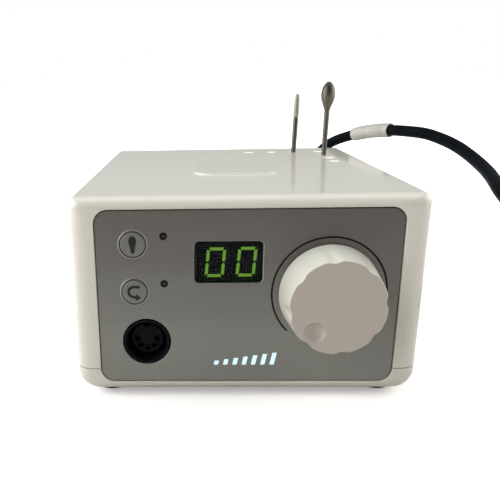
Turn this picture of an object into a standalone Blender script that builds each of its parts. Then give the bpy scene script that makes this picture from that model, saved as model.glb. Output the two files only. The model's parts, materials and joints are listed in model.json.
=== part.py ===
"""Electric nail drill, the table-top control box, as separate solids.

Metres, +Z up, +X to the right seen from the front, the front face towards -Y.
The origin is the centre of the low pad on the base tray's underside, ORIGIN_Z
above the table that the feet stand on. The numbers below are in millimetres,
with heights counted from the table; mm() turns them into metres, and add()
moves them to the origin.

Endings of names: _W, _D, _H, _T are width, depth, height and thickness, _R is a
radius, _X, _Y, _Z are a place or a (low, high) span on that axis, and _AT is a
place: (x, z) on the front and rear plates, (x, y) on the top and underside.
"""

import math

import bmesh
import bpy
from mathutils import Matrix, Vector

# ---------------------------------------------------------------- dimensions
GAP = 0.3  # clearance between neighbours
PAST = 5.0  # how far most cutters run past the face they cut
WALL = 2.2

# housing
BODY_W, BODY_D = 118.0, 152.0
FLOOR_Z, TOP_Z = 2.5, 71.0  # underside of the base tray, top face
SEAM_Z = 11.0  # parting line of cover and tray
HOUSING_X = (-BODY_W / 2, BODY_W / 2)
HOUSING_Z = (FLOOR_Z, TOP_Z)
FRONT_Y, BACK_Y = -BODY_D / 2, BODY_D / 2
TOP_EDGE_R = 2.8  # long upper edges
BOTTOM_EDGE_R = 7.0  # long lower edges
FRONT_RIM = (6.0, 4.4, 3.4)  # rounding of the front rim along x, y and z
FRONT_LOW_LOSS, FRONT_HIGH_LOSS = 2.6, 0.3  # what corner radii lose at the front rim
BACK_RIM_R = 2.0  # rounding of the rear rim
CAVITY_TOP_R = 0.8

# low pads on the underside and the top; both sink PAD_ROOT into the shell
PAD_X, PAD_Y, PAD_H, PAD_R = (-22.0, 22.0), (-14.0, 14.0), 0.4, 3.0
ORIGIN_Z = FLOOR_Z - PAD_H
LABEL_X, LABEL_Y, LABEL_H, LABEL_R = (-18.0, 16.0), (-26.4, 21.6), 0.6, 9.5
PAD_ROOT = 1.0

# front and rear plates
PLATE_INSET = 0.35  # from the rim of the housing to the plate's visible face
PLATE_T = 2.0
PLATE_LIP = 2.2  # overlap of the plate and the ledge that it rests on
OPENING_R = 3.0  # corners of the opening behind a plate
OPENING_DEPTH = 8.0
PANEL_X, PANEL_Z, PANEL_R = (-50.3, 50.3), (6.3, 66.8), 4.6
PANEL_FACE = FRONT_Y + PLATE_INSET
PANEL_BACK = PANEL_FACE + PLATE_T
BEHIND_PANEL = PANEL_BACK + GAP
FLUSH_FACE = PANEL_FACE + 0.1  # front of the parts that sit just inside the face
REAR_X, REAR_Z, REAR_R = (-48.0, 48.0), (7.6, 64.0), 4.0
REAR_FACE = BACK_Y - PLATE_INSET
REAR_INNER = REAR_FACE - PLATE_T

# boards
BOARD_T = 1.6
BOARD_FRONT = FRONT_Y + 12.0  # the control board stands behind the front plate
BOARD_BACK = BOARD_FRONT + BOARD_T
BOARD_SEAT = BOARD_FRONT - GAP  # back of the parts in front of it
MAIN_Z = (13.0, 13.0 + BOARD_T)
MAIN_SEAT = MAIN_Z[1] + GAP  # underside of the parts on the main board

# controls on the front plate
BUTTONS = {"foot": (-37.87, 55.5), "reverse": (-37.72, 39.24)}
BUTTON_R, BUTTON_HOLE_R = 4.1, 4.42
BUTTON_FLANGE_R, BUTTON_FLANGE_T = 5.4, 1.0
BUTTON_STEM_R = 1.6
BUTTON_PROUD = 0.55
SWITCH_FRONT = BOARD_SEAT - 3.6
PLUNGER_R, PLUNGER_PROUD, PLUNGER_SUNK = 1.7, 0.6, 1.1
LAMPS = {"foot": (-27.7, 58.17), "reverse": (-27.7, 41.94)}
LAMP_R = 1.15
WINDOW_X, WINDOW_Z, WINDOW_R = (-17.46, 4.9), (42.2, 56.55), 1.6
SOCKET_AT, SOCKET_HOLE_R = (-34.11, 21.12), 8.35  # five-way handpiece socket
CONTACT_PITCH_R = 3.5
MARK_X, MARK_Z, MARK_BARS = (-11.4, 11.1), (12.4, 16.8), 7  # row of lit bars
BAR_HALF_W, BAR_SLANT = 0.72, 0.22  # slant is the shift in x per mm of height
BAR_FIRST, BAR_GROWTH = 0.34, 0.66  # shares of full height: first bar, rise to last

# speed knob
KNOB_AT = (27.25, 38.4)
KNOB_BACK = PANEL_FACE - 0.6
KNOB_H = 15.7
KNOB_FACE = KNOB_BACK - KNOB_H
KNOB_BASE_R, KNOB_FACE_R = 16.8, 15.2
KNOB_SOCKET_R, KNOB_SOCKET_DEPTH = 3.3, 11.0
FLUTES, FLUTE_START = 8, 2.0  # number round the knob, angle of the first
FLUTE_R, FLUTE_DEPTH, FLUTE_LEAN = 7.0, 0.85, 9.0
DIMPLE_ANGLE, DIMPLE_OFF = 225.0, 10.7  # counter-clockwise from +X, off the axis
DIMPLE_BALL_R, DIMPLE_MOUTH_R = 5.2, 3.3
SHAFT_BACK, SHAFT_R, SHAFT_IN_KNOB = PANEL_BACK + 5.5, 3.0, 10.6

# bit rest in the top face: a row along x and a column along y
REST_HOLE_R, REST_DEPTH = 1.7, 14.0
REST_ROW_X, REST_ROW_Y = (9.7, 20.8, 32.0, 44.4), 56.0
REST_COLUMN_X, REST_COLUMN_Y = 44.6, (41.4, 28.2, 14.8)
REST_BLOCK_Z = (TOP_Z - REST_DEPTH - 1.5, TOP_Z - 1)

# bits; each leans towards +X
SHANK_R = 1.175  # 3/32 inch
BIT_BELOW = 12.5  # length below the top face
NEEDLE_AT, NEEDLE_LEAN = (REST_ROW_X[2] + 0.2, REST_ROW_Y), 1.8
NEEDLE_HEAD, NEEDLE_TIP = 87.7 - TOP_Z, 98.8 - TOP_Z  # heights above the top face
OLIVE_AT, OLIVE_LEAN = (REST_COLUMN_X + 0.1, REST_COLUMN_Y[0]), 1.0
OLIVE_HEAD, OLIVE_TIP = 91.5 - TOP_Z, 104.3 - TOP_Z
OLIVE_R, OLIVE_STEPS = 3.3, 12

# feet and case screws, one of each in every corner
FOOT_AT, FOOT_R, FOOT_H = (48.0, 64.5), 6.0, 3.0
BOSS_AT, BOSS_R, POST_R = (50.8, 47.0), 4.4, 4.2
SCREW_WAY_R = 1.75
CORNERS = [(x_sign, y_sign) for x_sign in (-1, 1) for y_sign in (-1, 1)]

# rear plate
ROCKER_AT, ROCKER_TILT, ROCKER_HALF_W = (-32.0, 38.0), 12.0, 8.1
ROCKER_PIVOT_Y = REAR_FACE - 1.6
FUSE_AT = (-8.0, 38.0)
PEDAL_JACK_AT = (10.0, 38.0)
CORD_AT = (32.0, 28.0)

# cord and plug
CORD_R = 2.6
CORD_STEP, SLEEVE_STEP = 7.0, 2.6  # spacing of points along the cord
SLEEVE_START, SLEEVE_LENGTH = (66.4, 78.0, 77.2), 24.0
SLEEVE_R, SLEEVE_BORE_R = 3.4, 3.0
PLUG = (138.0, -48.0, 7.4)  # centre of the end that the cord enters
PIN_OFF = 9.0  # from the plug's axis to a pin's
PIN_START = 29.4  # from the cord end of the plug to the inner end of a pin

# name: (base colour, roughness, metallic)
PALETTE = {
    "shell": ((0.60, 0.59, 0.54), 0.28, 0.0),
    "panel": ((0.13, 0.125, 0.11), 0.38, 0.55),
    "knob": ((0.62, 0.61, 0.55), 0.35, 0.0),
    "button": ((0.24, 0.235, 0.22), 0.45, 0.2),
    "black_plastic": ((0.012, 0.012, 0.014), 0.4, 0.0),
    "window": ((0.01, 0.012, 0.02), 0.08, 0.0),
    "light_guide": ((0.75, 0.9, 1.0), 0.3, 0.0),
    "board": ((0.02, 0.16, 0.06), 0.5, 0.0),
    "steel": ((0.55, 0.55, 0.53), 0.3, 1.0),
    "bit_steel": ((0.42, 0.40, 0.36), 0.25, 1.0),
    "brass": ((0.7, 0.52, 0.22), 0.3, 1.0),
    "copper": ((0.5, 0.2, 0.08), 0.4, 0.7),
    "lamination": ((0.2, 0.2, 0.21), 0.5, 0.8),
    "aluminium": ((0.5, 0.5, 0.52), 0.4, 1.0),
    "rubber": ((0.015, 0.015, 0.015), 0.8, 0.0),
    "cord": ((0.015, 0.016, 0.02), 0.45, 0.0),
    "sleeve": ((0.7, 0.68, 0.64), 0.5, 0.0),
    "relay": ((0.02, 0.1, 0.3), 0.4, 0.0),
    "glass": ((0.8, 0.85, 0.85), 0.05, 0.0),
}
HELPER = None  # stands in for a material: the object only serves a boolean

# --------------------------------------------------------- scene and materials
for old in list(bpy.data.objects):
    bpy.data.objects.remove(old, do_unlink=True)

PARTS = bpy.data.collections.new("nail_drill")
CUTTERS = bpy.data.collections.new("cutters")
bpy.context.scene.collection.children.link(PARTS)
bpy.context.scene.collection.children.link(CUTTERS)


def make_material(name, colour, roughness, metallic):
    material = bpy.data.materials.new(name)
    material.use_nodes = True
    shader = material.node_tree.nodes["Principled BSDF"]
    shader.inputs["Base Color"].default_value = (*colour, 1.0)
    shader.inputs["Roughness"].default_value = roughness
    shader.inputs["Metallic"].default_value = metallic
    material.diffuse_color = (*colour, 1.0)
    return material


MATERIALS = {name: make_material(name, *look) for name, look in PALETTE.items()}

# ------------------------------------------------------------------- helpers
TO_FRONT = Matrix.Rotation(math.radians(90), 3, "X")  # local +Z becomes world -Y
TO_BACK = Matrix.Rotation(math.radians(-90), 3, "X")  # local +Z becomes world +Y


def mm(*values):
    return Vector([value * 0.001 for value in values])


def grown(span, by):
    """A (low, high) span, longer by `by` at each end."""
    return (span[0] - by, span[1] + by)


def around(centre, half):
    return (centre - half, centre + half)


def on_circle(centre, radius, degrees):
    angle = math.radians(degrees)
    return (centre[0] + radius * math.cos(angle), centre[1] + radius * math.sin(angle))


def add(name, mesh, material, at=(0, 0, 0), turn=None):
    """A new object from a mesh, placed at `at` (mm) and turned by a matrix."""
    obj = bpy.data.objects.new(name, mesh)
    if material is HELPER:
        CUTTERS.objects.link(obj)
        obj.hide_render = True
        obj.display_type = "WIRE"
    else:
        PARTS.objects.link(obj)
        mesh.materials.append(MATERIALS[material])
    place = Matrix.Translation(mm(at[0], at[1], at[2] - ORIGIN_Z))
    obj.matrix_world = place if turn is None else place @ turn.to_4x4()
    return obj


def finish(shape, name):
    """A mesh from a bmesh, its normals outwards."""
    bmesh.ops.recalc_face_normals(shape, faces=shape.faces)
    mesh = bpy.data.meshes.new(name)
    shape.to_mesh(mesh)
    shape.free()
    return mesh


def smooth(obj, angle=35.0):
    obj.data.shade_smooth()
    obj.data.set_sharp_from_angle(angle=math.radians(angle))


def box(name, material, x_span, y_span, z_span, round_edges=0.0, segments=2):
    """A box with its origin at its centre."""
    spans = (x_span, y_span, z_span)
    shape = bmesh.new()
    bmesh.ops.create_cube(shape, size=1.0)
    bmesh.ops.scale(shape, vec=mm(*[high - low for low, high in spans]), verts=shape.verts)
    centre = [(low + high) / 2 for low, high in spans]
    obj = add(name, finish(shape, name), material, centre)
    if round_edges:
        bevel = obj.modifiers.new("round", "BEVEL")
        bevel.width = round_edges * 0.001
        bevel.segments = segments
    return obj


def cylinder(name, material, at, radius, length, turn=None, sides=24):
    """A cylinder from `at`, `length` long along local +Z."""
    shape = bmesh.new()
    bmesh.ops.create_cone(
        shape,
        cap_ends=True,
        segments=sides,
        radius1=radius * 0.001,
        radius2=radius * 0.001,
        depth=length * 0.001,
    )
    bmesh.ops.translate(shape, vec=mm(0, 0, length / 2), verts=shape.verts)
    obj = add(name, finish(shape, name), material, at, turn)
    smooth(obj)
    return obj


def turned(name, material, at, profile, turn=None, steps=32):
    """A solid of revolution about local Z from (radius, height) pairs.

    A profile that leaves the axis at either end is closed into a loop.
    """
    shape = bmesh.new()
    points = [shape.verts.new(mm(radius, 0, height)) for radius, height in profile]
    for start, end in zip(points, points[1:]):
        shape.edges.new((start, end))
    if profile[0][0] > 0 or profile[-1][0] > 0:
        shape.edges.new((points[-1], points[0]))
    mesh = bpy.data.meshes.new(name)
    shape.to_mesh(mesh)
    shape.free()
    obj = add(name, mesh, material, at, turn)
    screw = obj.modifiers.new("turn", "SCREW")
    screw.steps = screw.render_steps = steps
    screw.use_merge_vertices = True
    screw.merge_threshold = 0.00001
    screw.use_smooth_shade = True
    return obj


def from_curve(name, material, curve, points, closed, at=(0, 0, 0)):
    """The mesh of a curve through (x, y, z) points, its caps welded, as an object."""
    spline = curve.splines.new("POLY")
    spline.points.add(len(points) - 1)
    for point, place in zip(spline.points, points):
        point.co = (*mm(*place), 1)
    spline.use_cyclic_u = closed
    guide = bpy.data.objects.new(name + "_guide", curve)
    CUTTERS.objects.link(guide)
    bpy.context.view_layer.update()
    graph = bpy.context.evaluated_depsgraph_get()
    mesh = bpy.data.meshes.new_from_object(guide.evaluated_get(graph))
    shape = bmesh.new()
    shape.from_mesh(mesh)
    bmesh.ops.remove_doubles(shape, verts=shape.verts, dist=0.000001)
    bmesh.ops.recalc_face_normals(shape, faces=shape.faces)
    shape.to_mesh(mesh)
    shape.free()
    mesh.name = name
    bpy.data.objects.remove(guide, do_unlink=True)
    mesh.materials.clear()
    return add(name, mesh, material, at)


def flat(name, material, outline, thickness, at):
    """A flat outline of (x, y) pairs, thickened about its own plane."""
    curve = bpy.data.curves.new(name, "CURVE")
    curve.dimensions = "2D"
    curve.fill_mode = "BOTH"
    curve.extrude = thickness * 0.0005
    return from_curve(name, material, curve, [(x, y, 0) for x, y in outline], True, at)


def tube(name, material, points, radius):
    """A round tube with closed ends through a list of points."""
    curve = bpy.data.curves.new(name, "CURVE")
    curve.dimensions = "3D"
    curve.bevel_depth = radius * 0.001
    curve.bevel_resolution = 2
    curve.use_fill_caps = True
    obj = from_curve(name, material, curve, points, False)
    smooth(obj, 50)
    return obj


def rounded(x_span, z_span, low_radius, high_radius, steps=4):
    """A rounded rectangle, counter-clockwise from its lower left."""
    (left, right), (bottom, top) = x_span, z_span
    corners = (
        (left + low_radius, bottom + low_radius, low_radius, 180),
        (right - low_radius, bottom + low_radius, low_radius, 270),
        (right - high_radius, top - high_radius, high_radius, 0),
        (left + high_radius, top - high_radius, high_radius, 90),
    )
    return [
        on_circle((x, z), radius, start + 90.0 * i / steps)
        for x, z, radius, start in corners
        for i in range(steps + 1)
    ]


def skin(name, material, outlines, at=(0, 0, 0)):
    """A closed solid through rings of (x, y, z) points, all with equal counts."""
    shape = bmesh.new()
    rings = [[shape.verts.new(mm(*point)) for point in outline] for outline in outlines]
    for ring, following in zip(rings, rings[1:]):
        for i in range(len(ring)):
            j = (i + 1) % len(ring)
            shape.faces.new((ring[i], ring[j], following[j], following[i]))
    shape.faces.new(rings[0])
    shape.faces.new(list(reversed(rings[-1])))
    return add(name, finish(shape, name), material, at)


def loft(name, material, sections):
    """A closed solid through (y, outline) sections, each outline of (x, z) pairs."""
    outlines = [[(x, y, z) for x, z in outline] for y, outline in sections]
    obj = skin(name, material, outlines)
    smooth(obj, 30)
    return obj


def plate(name, material, x_span, z_span, radius, y_span, steps=4):
    """A rounded plate standing upright between two depths."""
    outline = rounded(x_span, z_span, radius, radius, steps)
    return loft(name, material, [(y, outline) for y in y_span])


def boolean(obj, others, operation):
    for other in others:
        modifier = obj.modifiers.new(operation.lower(), "BOOLEAN")
        modifier.operation = operation
        modifier.object = other
        modifier.solver = "EXACT"


def minus(obj, *others):
    boolean(obj, others, "DIFFERENCE")


def plus(obj, *others):
    boolean(obj, others, "UNION")


def drill_plate(obj, face_y, holes):
    """Round holes through an upright plate from (name, (x, z), radius, sides)."""
    reach = 8  # to each side of the face
    for name, (x, z), radius, sides in holes:
        at = (x, face_y + reach, z)
        minus(obj, cylinder(name, HELPER, at, radius, 2 * reach, TO_FRONT, sides))


# ------------------------------------------------------------------- housing
def body_sections():
    """The housing's sections from front to back, both rims rounded."""
    rim_x, rim_y, rim_z = FRONT_RIM
    sections = []
    front_steps = 4
    for i in range(front_steps + 1):
        angle = math.radians(90.0 * i / front_steps)
        inset = 1 - math.sin(angle)
        outline = rounded(
            grown(HOUSING_X, -rim_x * inset),
            grown(HOUSING_Z, -rim_z * inset),
            BOTTOM_EDGE_R - FRONT_LOW_LOSS * inset,
            TOP_EDGE_R - FRONT_HIGH_LOSS * inset,
        )
        sections.append((FRONT_Y + rim_y * (1 - math.cos(angle)), outline))
    for i in range(3):
        angle = math.radians(45.0 * i)
        inset = BACK_RIM_R * (1 - math.cos(angle))
        outline = rounded(
            grown(HOUSING_X, -inset),
            grown(HOUSING_Z, -inset),
            BOTTOM_EDGE_R - inset,
            TOP_EDGE_R - inset * 0.5,
        )
        sections.append((BACK_Y - BACK_RIM_R * (1 - math.sin(angle)), outline))
    return sections


def make_cavity():
    outline = rounded(
        grown(HOUSING_X, -WALL), grown(HOUSING_Z, -WALL), BOTTOM_EDGE_R - WALL, CAVITY_TOP_R
    )
    return loft("cavity", HELPER, [(FRONT_Y + 5.2, outline), (BACK_Y - 4.6, outline)])


def plate_cutters(end, x_span, z_span, radius, seat_y, opening_y):
    """A seat for a plate with clearance, and the smaller opening behind it."""
    return (
        plate(f"{end}_seat", HELPER, grown(x_span, GAP), grown(z_span, GAP),
              radius + GAP, seat_y),
        plate(f"{end}_window", HELPER, grown(x_span, -PLATE_LIP), grown(z_span, -PLATE_LIP),
              OPENING_R, opening_y, steps=2),
    )


def cut_away(obj, z_span):
    """Removes the part of a housing solid within a span of heights."""
    minus(obj, box("cut_" + obj.name, HELPER, (-80, 80), (-100, 100), z_span))


def rest_hole(name, x, y):
    at = (x, y, TOP_Z - REST_DEPTH)
    return cylinder(name, HELPER, at, REST_HOLE_R, REST_DEPTH + PAST, sides=16)


def make_cover(cavity, end_cutters):
    """Upper cover: shell, four screw posts, the bit rest and the raised label pad."""
    cover = loft("upper_cover", "shell", body_sections())
    minus(cover, cavity)
    post_h, post_hole_h = 60.5, 17
    for x_sign, y_sign in CORNERS:
        at = (x_sign * BOSS_AT[0], y_sign * BOSS_AT[1], SEAM_Z - 2)
        name = f"post_{x_sign}_{y_sign}"
        plus(cover, cylinder(name, HELPER, at, POST_R, post_h, sides=12))
    plus(
        cover,
        box("rest_row", HELPER, (REST_ROW_X[0] - 4, REST_ROW_X[-1] + 4.4),
            around(REST_ROW_Y, 4), REST_BLOCK_Z),
        box("rest_column", HELPER, around(REST_COLUMN_X, 4.2),
            (REST_COLUMN_Y[-1] - 4, REST_ROW_Y + 2), REST_BLOCK_Z),
    )
    cut_away(cover, (-10, SEAM_Z + GAP / 2))
    minus(cover, *end_cutters)
    for x_sign, y_sign in CORNERS:
        at = (x_sign * BOSS_AT[0], y_sign * BOSS_AT[1], SEAM_Z - 3)
        name = f"post_hole_{x_sign}_{y_sign}"
        minus(cover, cylinder(name, HELPER, at, SCREW_WAY_R, post_hole_h, sides=12))
    for i, x in enumerate(REST_ROW_X):
        minus(cover, rest_hole(f"rest_hole_r{i}", x, REST_ROW_Y))
    for i, y in enumerate(REST_COLUMN_Y):
        minus(cover, rest_hole(f"rest_hole_c{i}", REST_COLUMN_X, y))
    outline = rounded(LABEL_X, LABEL_Y, LABEL_R, LABEL_R)
    at = (0, 0, TOP_Z + (LABEL_H - PAD_ROOT) / 2)
    plus(cover, flat("label_pad", HELPER, outline, LABEL_H + PAD_ROOT, at))


def make_tray(cavity, end_cutters):
    """Base tray: shell, screw bosses, the low pad, foot seats and cooling slots."""
    tray = loft("base_tray", "shell", body_sections())
    minus(tray, cavity)
    for x_sign, y_sign in CORNERS:
        at = (x_sign * BOSS_AT[0], y_sign * BOSS_AT[1], FLOOR_Z + 1)
        plus(tray, cylinder(f"boss_{x_sign}_{y_sign}", HELPER, at, BOSS_R, 9, sides=12))
    outline = rounded(PAD_X, PAD_Y, PAD_R, PAD_R, 3)
    at = (0, 0, ORIGIN_Z + (PAD_H + PAD_ROOT) / 2)
    plus(tray, flat("underside_pad", HELPER, outline, PAD_H + PAD_ROOT, at))
    cut_away(tray, (SEAM_Z - GAP / 2, 120))
    minus(tray, *end_cutters)

    below = 2  # how far these cutters reach below the table
    head_r, head_z = 3.5, 6.6  # wide lower part of the screw way
    screw_way = [(0, 15), (SCREW_WAY_R, 15), (SCREW_WAY_R, head_z), (head_r, head_z),
                 (head_r, -below), (0, -below)]
    for x_sign, y_sign in CORNERS:
        corner = f"{x_sign}_{y_sign}"
        screw_at = (x_sign * BOSS_AT[0], y_sign * BOSS_AT[1], 0)
        foot_at = (x_sign * FOOT_AT[0], y_sign * FOOT_AT[1], -below)
        minus(
            tray,
            turned(f"screw_way_{corner}", HELPER, screw_at, screw_way, steps=12),
            cylinder(f"foot_seat_{corner}", HELPER, foot_at, FOOT_R + GAP,
                     below + FOOT_H + GAP),
        )
    for i, x in enumerate((-42, -36, -30, 30, 36, 42)):
        minus(tray, box(f"floor_slot_{i}", HELPER, around(x, 1.2), (-20, 20), (-1, 7)))


def make_housing():
    cavity = make_cavity()
    end_cutters = (
        *plate_cutters("front", PANEL_X, PANEL_Z, PANEL_R,
                       (FRONT_Y - PAST, BEHIND_PANEL),
                       (FRONT_Y - PAST, FRONT_Y + OPENING_DEPTH)),
        *plate_cutters("rear", REAR_X, REAR_Z, REAR_R,
                       (REAR_INNER - GAP, BACK_Y + PAST),
                       (BACK_Y - OPENING_DEPTH, BACK_Y + PAST)),
    )
    make_cover(cavity, end_cutters)
    make_tray(cavity, end_cutters)


# --------------------------------------------------- front plate and display
def make_front_panel():
    panel = plate("front_panel", "panel", PANEL_X, PANEL_Z, PANEL_R, (PANEL_FACE, PANEL_BACK))
    holes = [(f"hole_{key}_button", at, BUTTON_HOLE_R, 24) for key, at in BUTTONS.items()]
    holes += [(f"hole_{key}_led", at, LAMP_R + GAP, 12) for key, at in LAMPS.items()]
    holes += [
        ("hole_socket", SOCKET_AT, SOCKET_HOLE_R, 32),
        ("hole_knob", KNOB_AT, 4.9, 16),
    ]
    drill_plate(panel, PANEL_FACE, holes)
    cut_y = grown((PANEL_FACE, PANEL_BACK), PAST)
    minus(panel, plate("hole_window", HELPER, WINDOW_X, WINDOW_Z, WINDOW_R, cut_y, steps=3))
    for i in range(MARK_BARS):
        slot = bar_outline(i, GAP)
        minus(panel, loft(f"bar_slot_{i}", HELPER, [(y, slot) for y in cut_y]))


def bar_outline(i, grow):
    """One slanted bar of the lit row, larger by `grow` on each side."""
    bottom, full_top = MARK_Z
    pitch = (MARK_X[1] - MARK_X[0]) / MARK_BARS
    x = MARK_X[0] + pitch * (i + 0.5)
    share = BAR_FIRST + BAR_GROWTH * i / (MARK_BARS - 1)
    low = bottom - grow
    high = bottom + (full_top - bottom) * share + grow
    middle = (bottom + full_top) / 2
    half = BAR_HALF_W + grow
    return [
        (x + side * half + BAR_SLANT * (z - middle), z)
        for side, z in ((-1, low), (1, low), (1, high), (-1, high))
    ]


def make_light_guide():
    """A strip behind the plate with a bar reaching into each slot."""
    guide = box("mark_light_guide", "light_guide", grown(MARK_X, 1),
                (BEHIND_PANEL, BEHIND_PANEL + 2.2), grown(MARK_Z, 1))
    for i in range(MARK_BARS):
        lit = bar_outline(i, 0.0)
        plus(guide, loft(f"bar_{i}", HELPER, [(FLUSH_FACE, lit), (PANEL_BACK + 1, lit)]))


def make_display():
    """The window and the display module behind it."""
    plate("display_window", "window", grown(WINDOW_X, -GAP), grown(WINDOW_Z, -GAP),
          WINDOW_R - GAP, (PANEL_FACE + 0.25, PANEL_BACK), steps=3)
    box("display_module", "black_plastic", grown(WINDOW_X, -0.6),
        (BEHIND_PANEL, BOARD_SEAT), grown(WINDOW_Z, -0.8))


def make_status_lamp(key, at):
    """A pin through the plate on a wider foot."""
    depth = BOARD_SEAT - FLUSH_FACE
    foot_r, foot_h = 1.9, 5.0
    turned(
        f"{key}_status_lamp", "black_plastic", (at[0], BOARD_SEAT, at[1]),
        [
            (0, depth), (LAMP_R * 0.8, depth), (LAMP_R, depth - 0.35),
            (LAMP_R, foot_h), (foot_r, foot_h), (foot_r, 0), (0, 0),
        ],
        TO_FRONT, 12,
    )


# ------------------------------------------------------- buttons and switches
def make_button(key, at):
    """A flanged cap with a stem, and the push switch behind it."""
    x, z = at
    flange_back = BEHIND_PANEL + BUTTON_FLANGE_T
    stem = SWITCH_FRONT - PLUNGER_PROUD - GAP - flange_back
    top = flange_back - (PANEL_FACE - BUTTON_PROUD) + stem
    turned(
        f"{key}_button", "button", (x, flange_back + stem, z),
        [
            (0, top), (BUTTON_R - 0.5, top), (BUTTON_R - 0.12, top - 0.14),
            (BUTTON_R, top - 0.5), (BUTTON_R, stem + BUTTON_FLANGE_T),
            (BUTTON_FLANGE_R, stem + BUTTON_FLANGE_T), (BUTTON_FLANGE_R, stem),
            (BUTTON_STEM_R, stem), (BUTTON_STEM_R, 0), (0, 0),
        ],
        TO_FRONT, 24,
    )
    body = box(f"{key}_switch_body", "black_plastic", around(x, 3),
               (SWITCH_FRONT, BOARD_SEAT), around(z, 3))
    minus(body, cylinder(f"{key}_switch_bore", HELPER, (x, SWITCH_FRONT + 1.8, z),
                         PLUNGER_R + GAP, 6, TO_FRONT, 12))
    cylinder(f"{key}_switch_plunger", "black_plastic", (x, SWITCH_FRONT + PLUNGER_SUNK, z),
             PLUNGER_R, PLUNGER_SUNK + PLUNGER_PROUD, TO_FRONT, 12)


# ---------------------------------------------------------- handpiece socket
def make_handpiece_socket():
    """A ringed shell round a keyed insert with five hollow contacts."""
    x, z = SOCKET_AT
    shell_back = BOARD_FRONT - 1.5
    rim = shell_back - FLUSH_FACE
    turned(
        "handpiece_socket_shell", "black_plastic", (x, shell_back, z),
        [
            (8.05, rim), (8.05, 8.0), (10.6, 8.0), (10.6, 6.2), (8.05, 6.2),
            (8.05, 0), (6.75, 0), (6.75, rim - 0.8), (7.2, rim),
        ],
        TO_FRONT, 32,
    )
    insert = turned(
        "handpiece_socket_insert", "black_plastic", (x, BOARD_FRONT - 1.2, z),
        [(0, 7.1), (5.4, 7.1), (5.7, 6.8), (5.7, 1.6), (6.4, 1.6), (6.4, 0), (0, 0)],
        TO_FRONT, 32,
    )
    minus(insert, box("socket_key", HELPER, around(x, 1.1), (FRONT_Y, BOARD_FRONT - 3.5),
                      (z + 4.5, z + 9)))
    contact = [(0.62, 7.0), (0.62, 0), (0, 0), (0, 3.0), (0.32, 3.0), (0.32, 7.0)]
    for i in range(5):
        # the contacts follow the lower half of a circle from left to right
        pin_x, pin_z = on_circle(SOCKET_AT, CONTACT_PITCH_R, 180 + 45 * i)
        minus(insert, cylinder(f"contact_way_{i}", HELPER, (pin_x, BOARD_FRONT + 2, pin_z),
                               0.95, 20, TO_FRONT, 12))
        turned(f"socket_contact_{i + 1}", "brass", (pin_x, BOARD_SEAT, pin_z), contact,
               TO_FRONT, 10)


# ------------------------------------------- speed knob and its potentiometer
def flute_cutter(i):
    angle = math.radians(360.0 / FLUTES * i + FLUTE_START)
    lean = math.radians(FLUTE_LEAN)
    # the cutter's axis leans outwards towards the base, so the flute fades out
    outwards = Vector((math.cos(angle), 0, math.sin(angle)))
    on_face = Vector((KNOB_AT[0], KNOB_FACE, KNOB_AT[1]))
    on_face += outwards * (KNOB_FACE_R + FLUTE_R - FLUTE_DEPTH)
    axis = (Vector((0, 1, 0)) * math.cos(lean) + outwards * math.sin(lean)).normalized()
    turn = axis.to_track_quat("Z", "Y").to_matrix()
    return cylinder(f"flute_{i}", HELPER, on_face - axis * 4, FLUTE_R, 22, turn, 32)


def dimple_cutter():
    ball = bmesh.new()
    bmesh.ops.create_uvsphere(
        ball, u_segments=24, v_segments=16, radius=DIMPLE_BALL_R * 0.001
    )
    x, z = on_circle(KNOB_AT, DIMPLE_OFF, DIMPLE_ANGLE)
    y = KNOB_FACE - math.sqrt(DIMPLE_BALL_R**2 - DIMPLE_MOUTH_R**2)
    return add("dimple", finish(ball, "dimple"), HELPER, (x, y, z), TO_FRONT)


def make_knob():
    """A tapered knob with flutes, a finger dimple and a hollow back."""
    face_r, base_r = KNOB_FACE_R, KNOB_BASE_R
    knob = turned(
        "speed_knob", "knob", (KNOB_AT[0], KNOB_BACK, KNOB_AT[1]),
        [
            (0, KNOB_H), (face_r - 0.75, KNOB_H), (face_r - 0.22, KNOB_H - 0.2),
            (face_r, KNOB_H - 0.75), (base_r, 0.4), (base_r - 0.4, 0), (8.6, 0), (8.6, 3.9),
            (KNOB_SOCKET_R, 3.9), (KNOB_SOCKET_R, KNOB_SOCKET_DEPTH), (0, KNOB_SOCKET_DEPTH),
        ],
        TO_FRONT, 48,
    )
    for i in range(FLUTES):
        minus(knob, flute_cutter(i))
    minus(knob, dimple_cutter())


def make_potentiometer():
    """Shaft, body with its bush, and the nut in front of the plate."""
    x, z = KNOB_AT
    cylinder("knob_shaft", "steel", (x, SHAFT_BACK, z), SHAFT_R,
             SHAFT_BACK - (KNOB_BACK - SHAFT_IN_KNOB), TO_FRONT, 20)
    body_h = BOARD_SEAT - BEHIND_PANEL
    bush_r, bush_top = 4.6, body_h + 5.6
    bore_r = SHAFT_R + GAP
    turned(
        "potentiometer_body", "steel", (x, BOARD_SEAT, z),
        [
            (bush_r, bush_top), (bush_r, body_h), (8.5, body_h), (8.5, 0), (0, 0),
            (0, 1.2), (bore_r, 1.2), (bore_r, bush_top),
        ],
        TO_FRONT, 24,
    )
    nut = cylinder("potentiometer_nut", "steel", (x, PANEL_FACE - 0.3, z), 6.6, 2.2,
                   TO_FRONT, 6)
    minus(nut, cylinder("nut_bore", HELPER, (x, PANEL_FACE + 5, z), 4.85, 14, TO_FRONT, 24))


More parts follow.
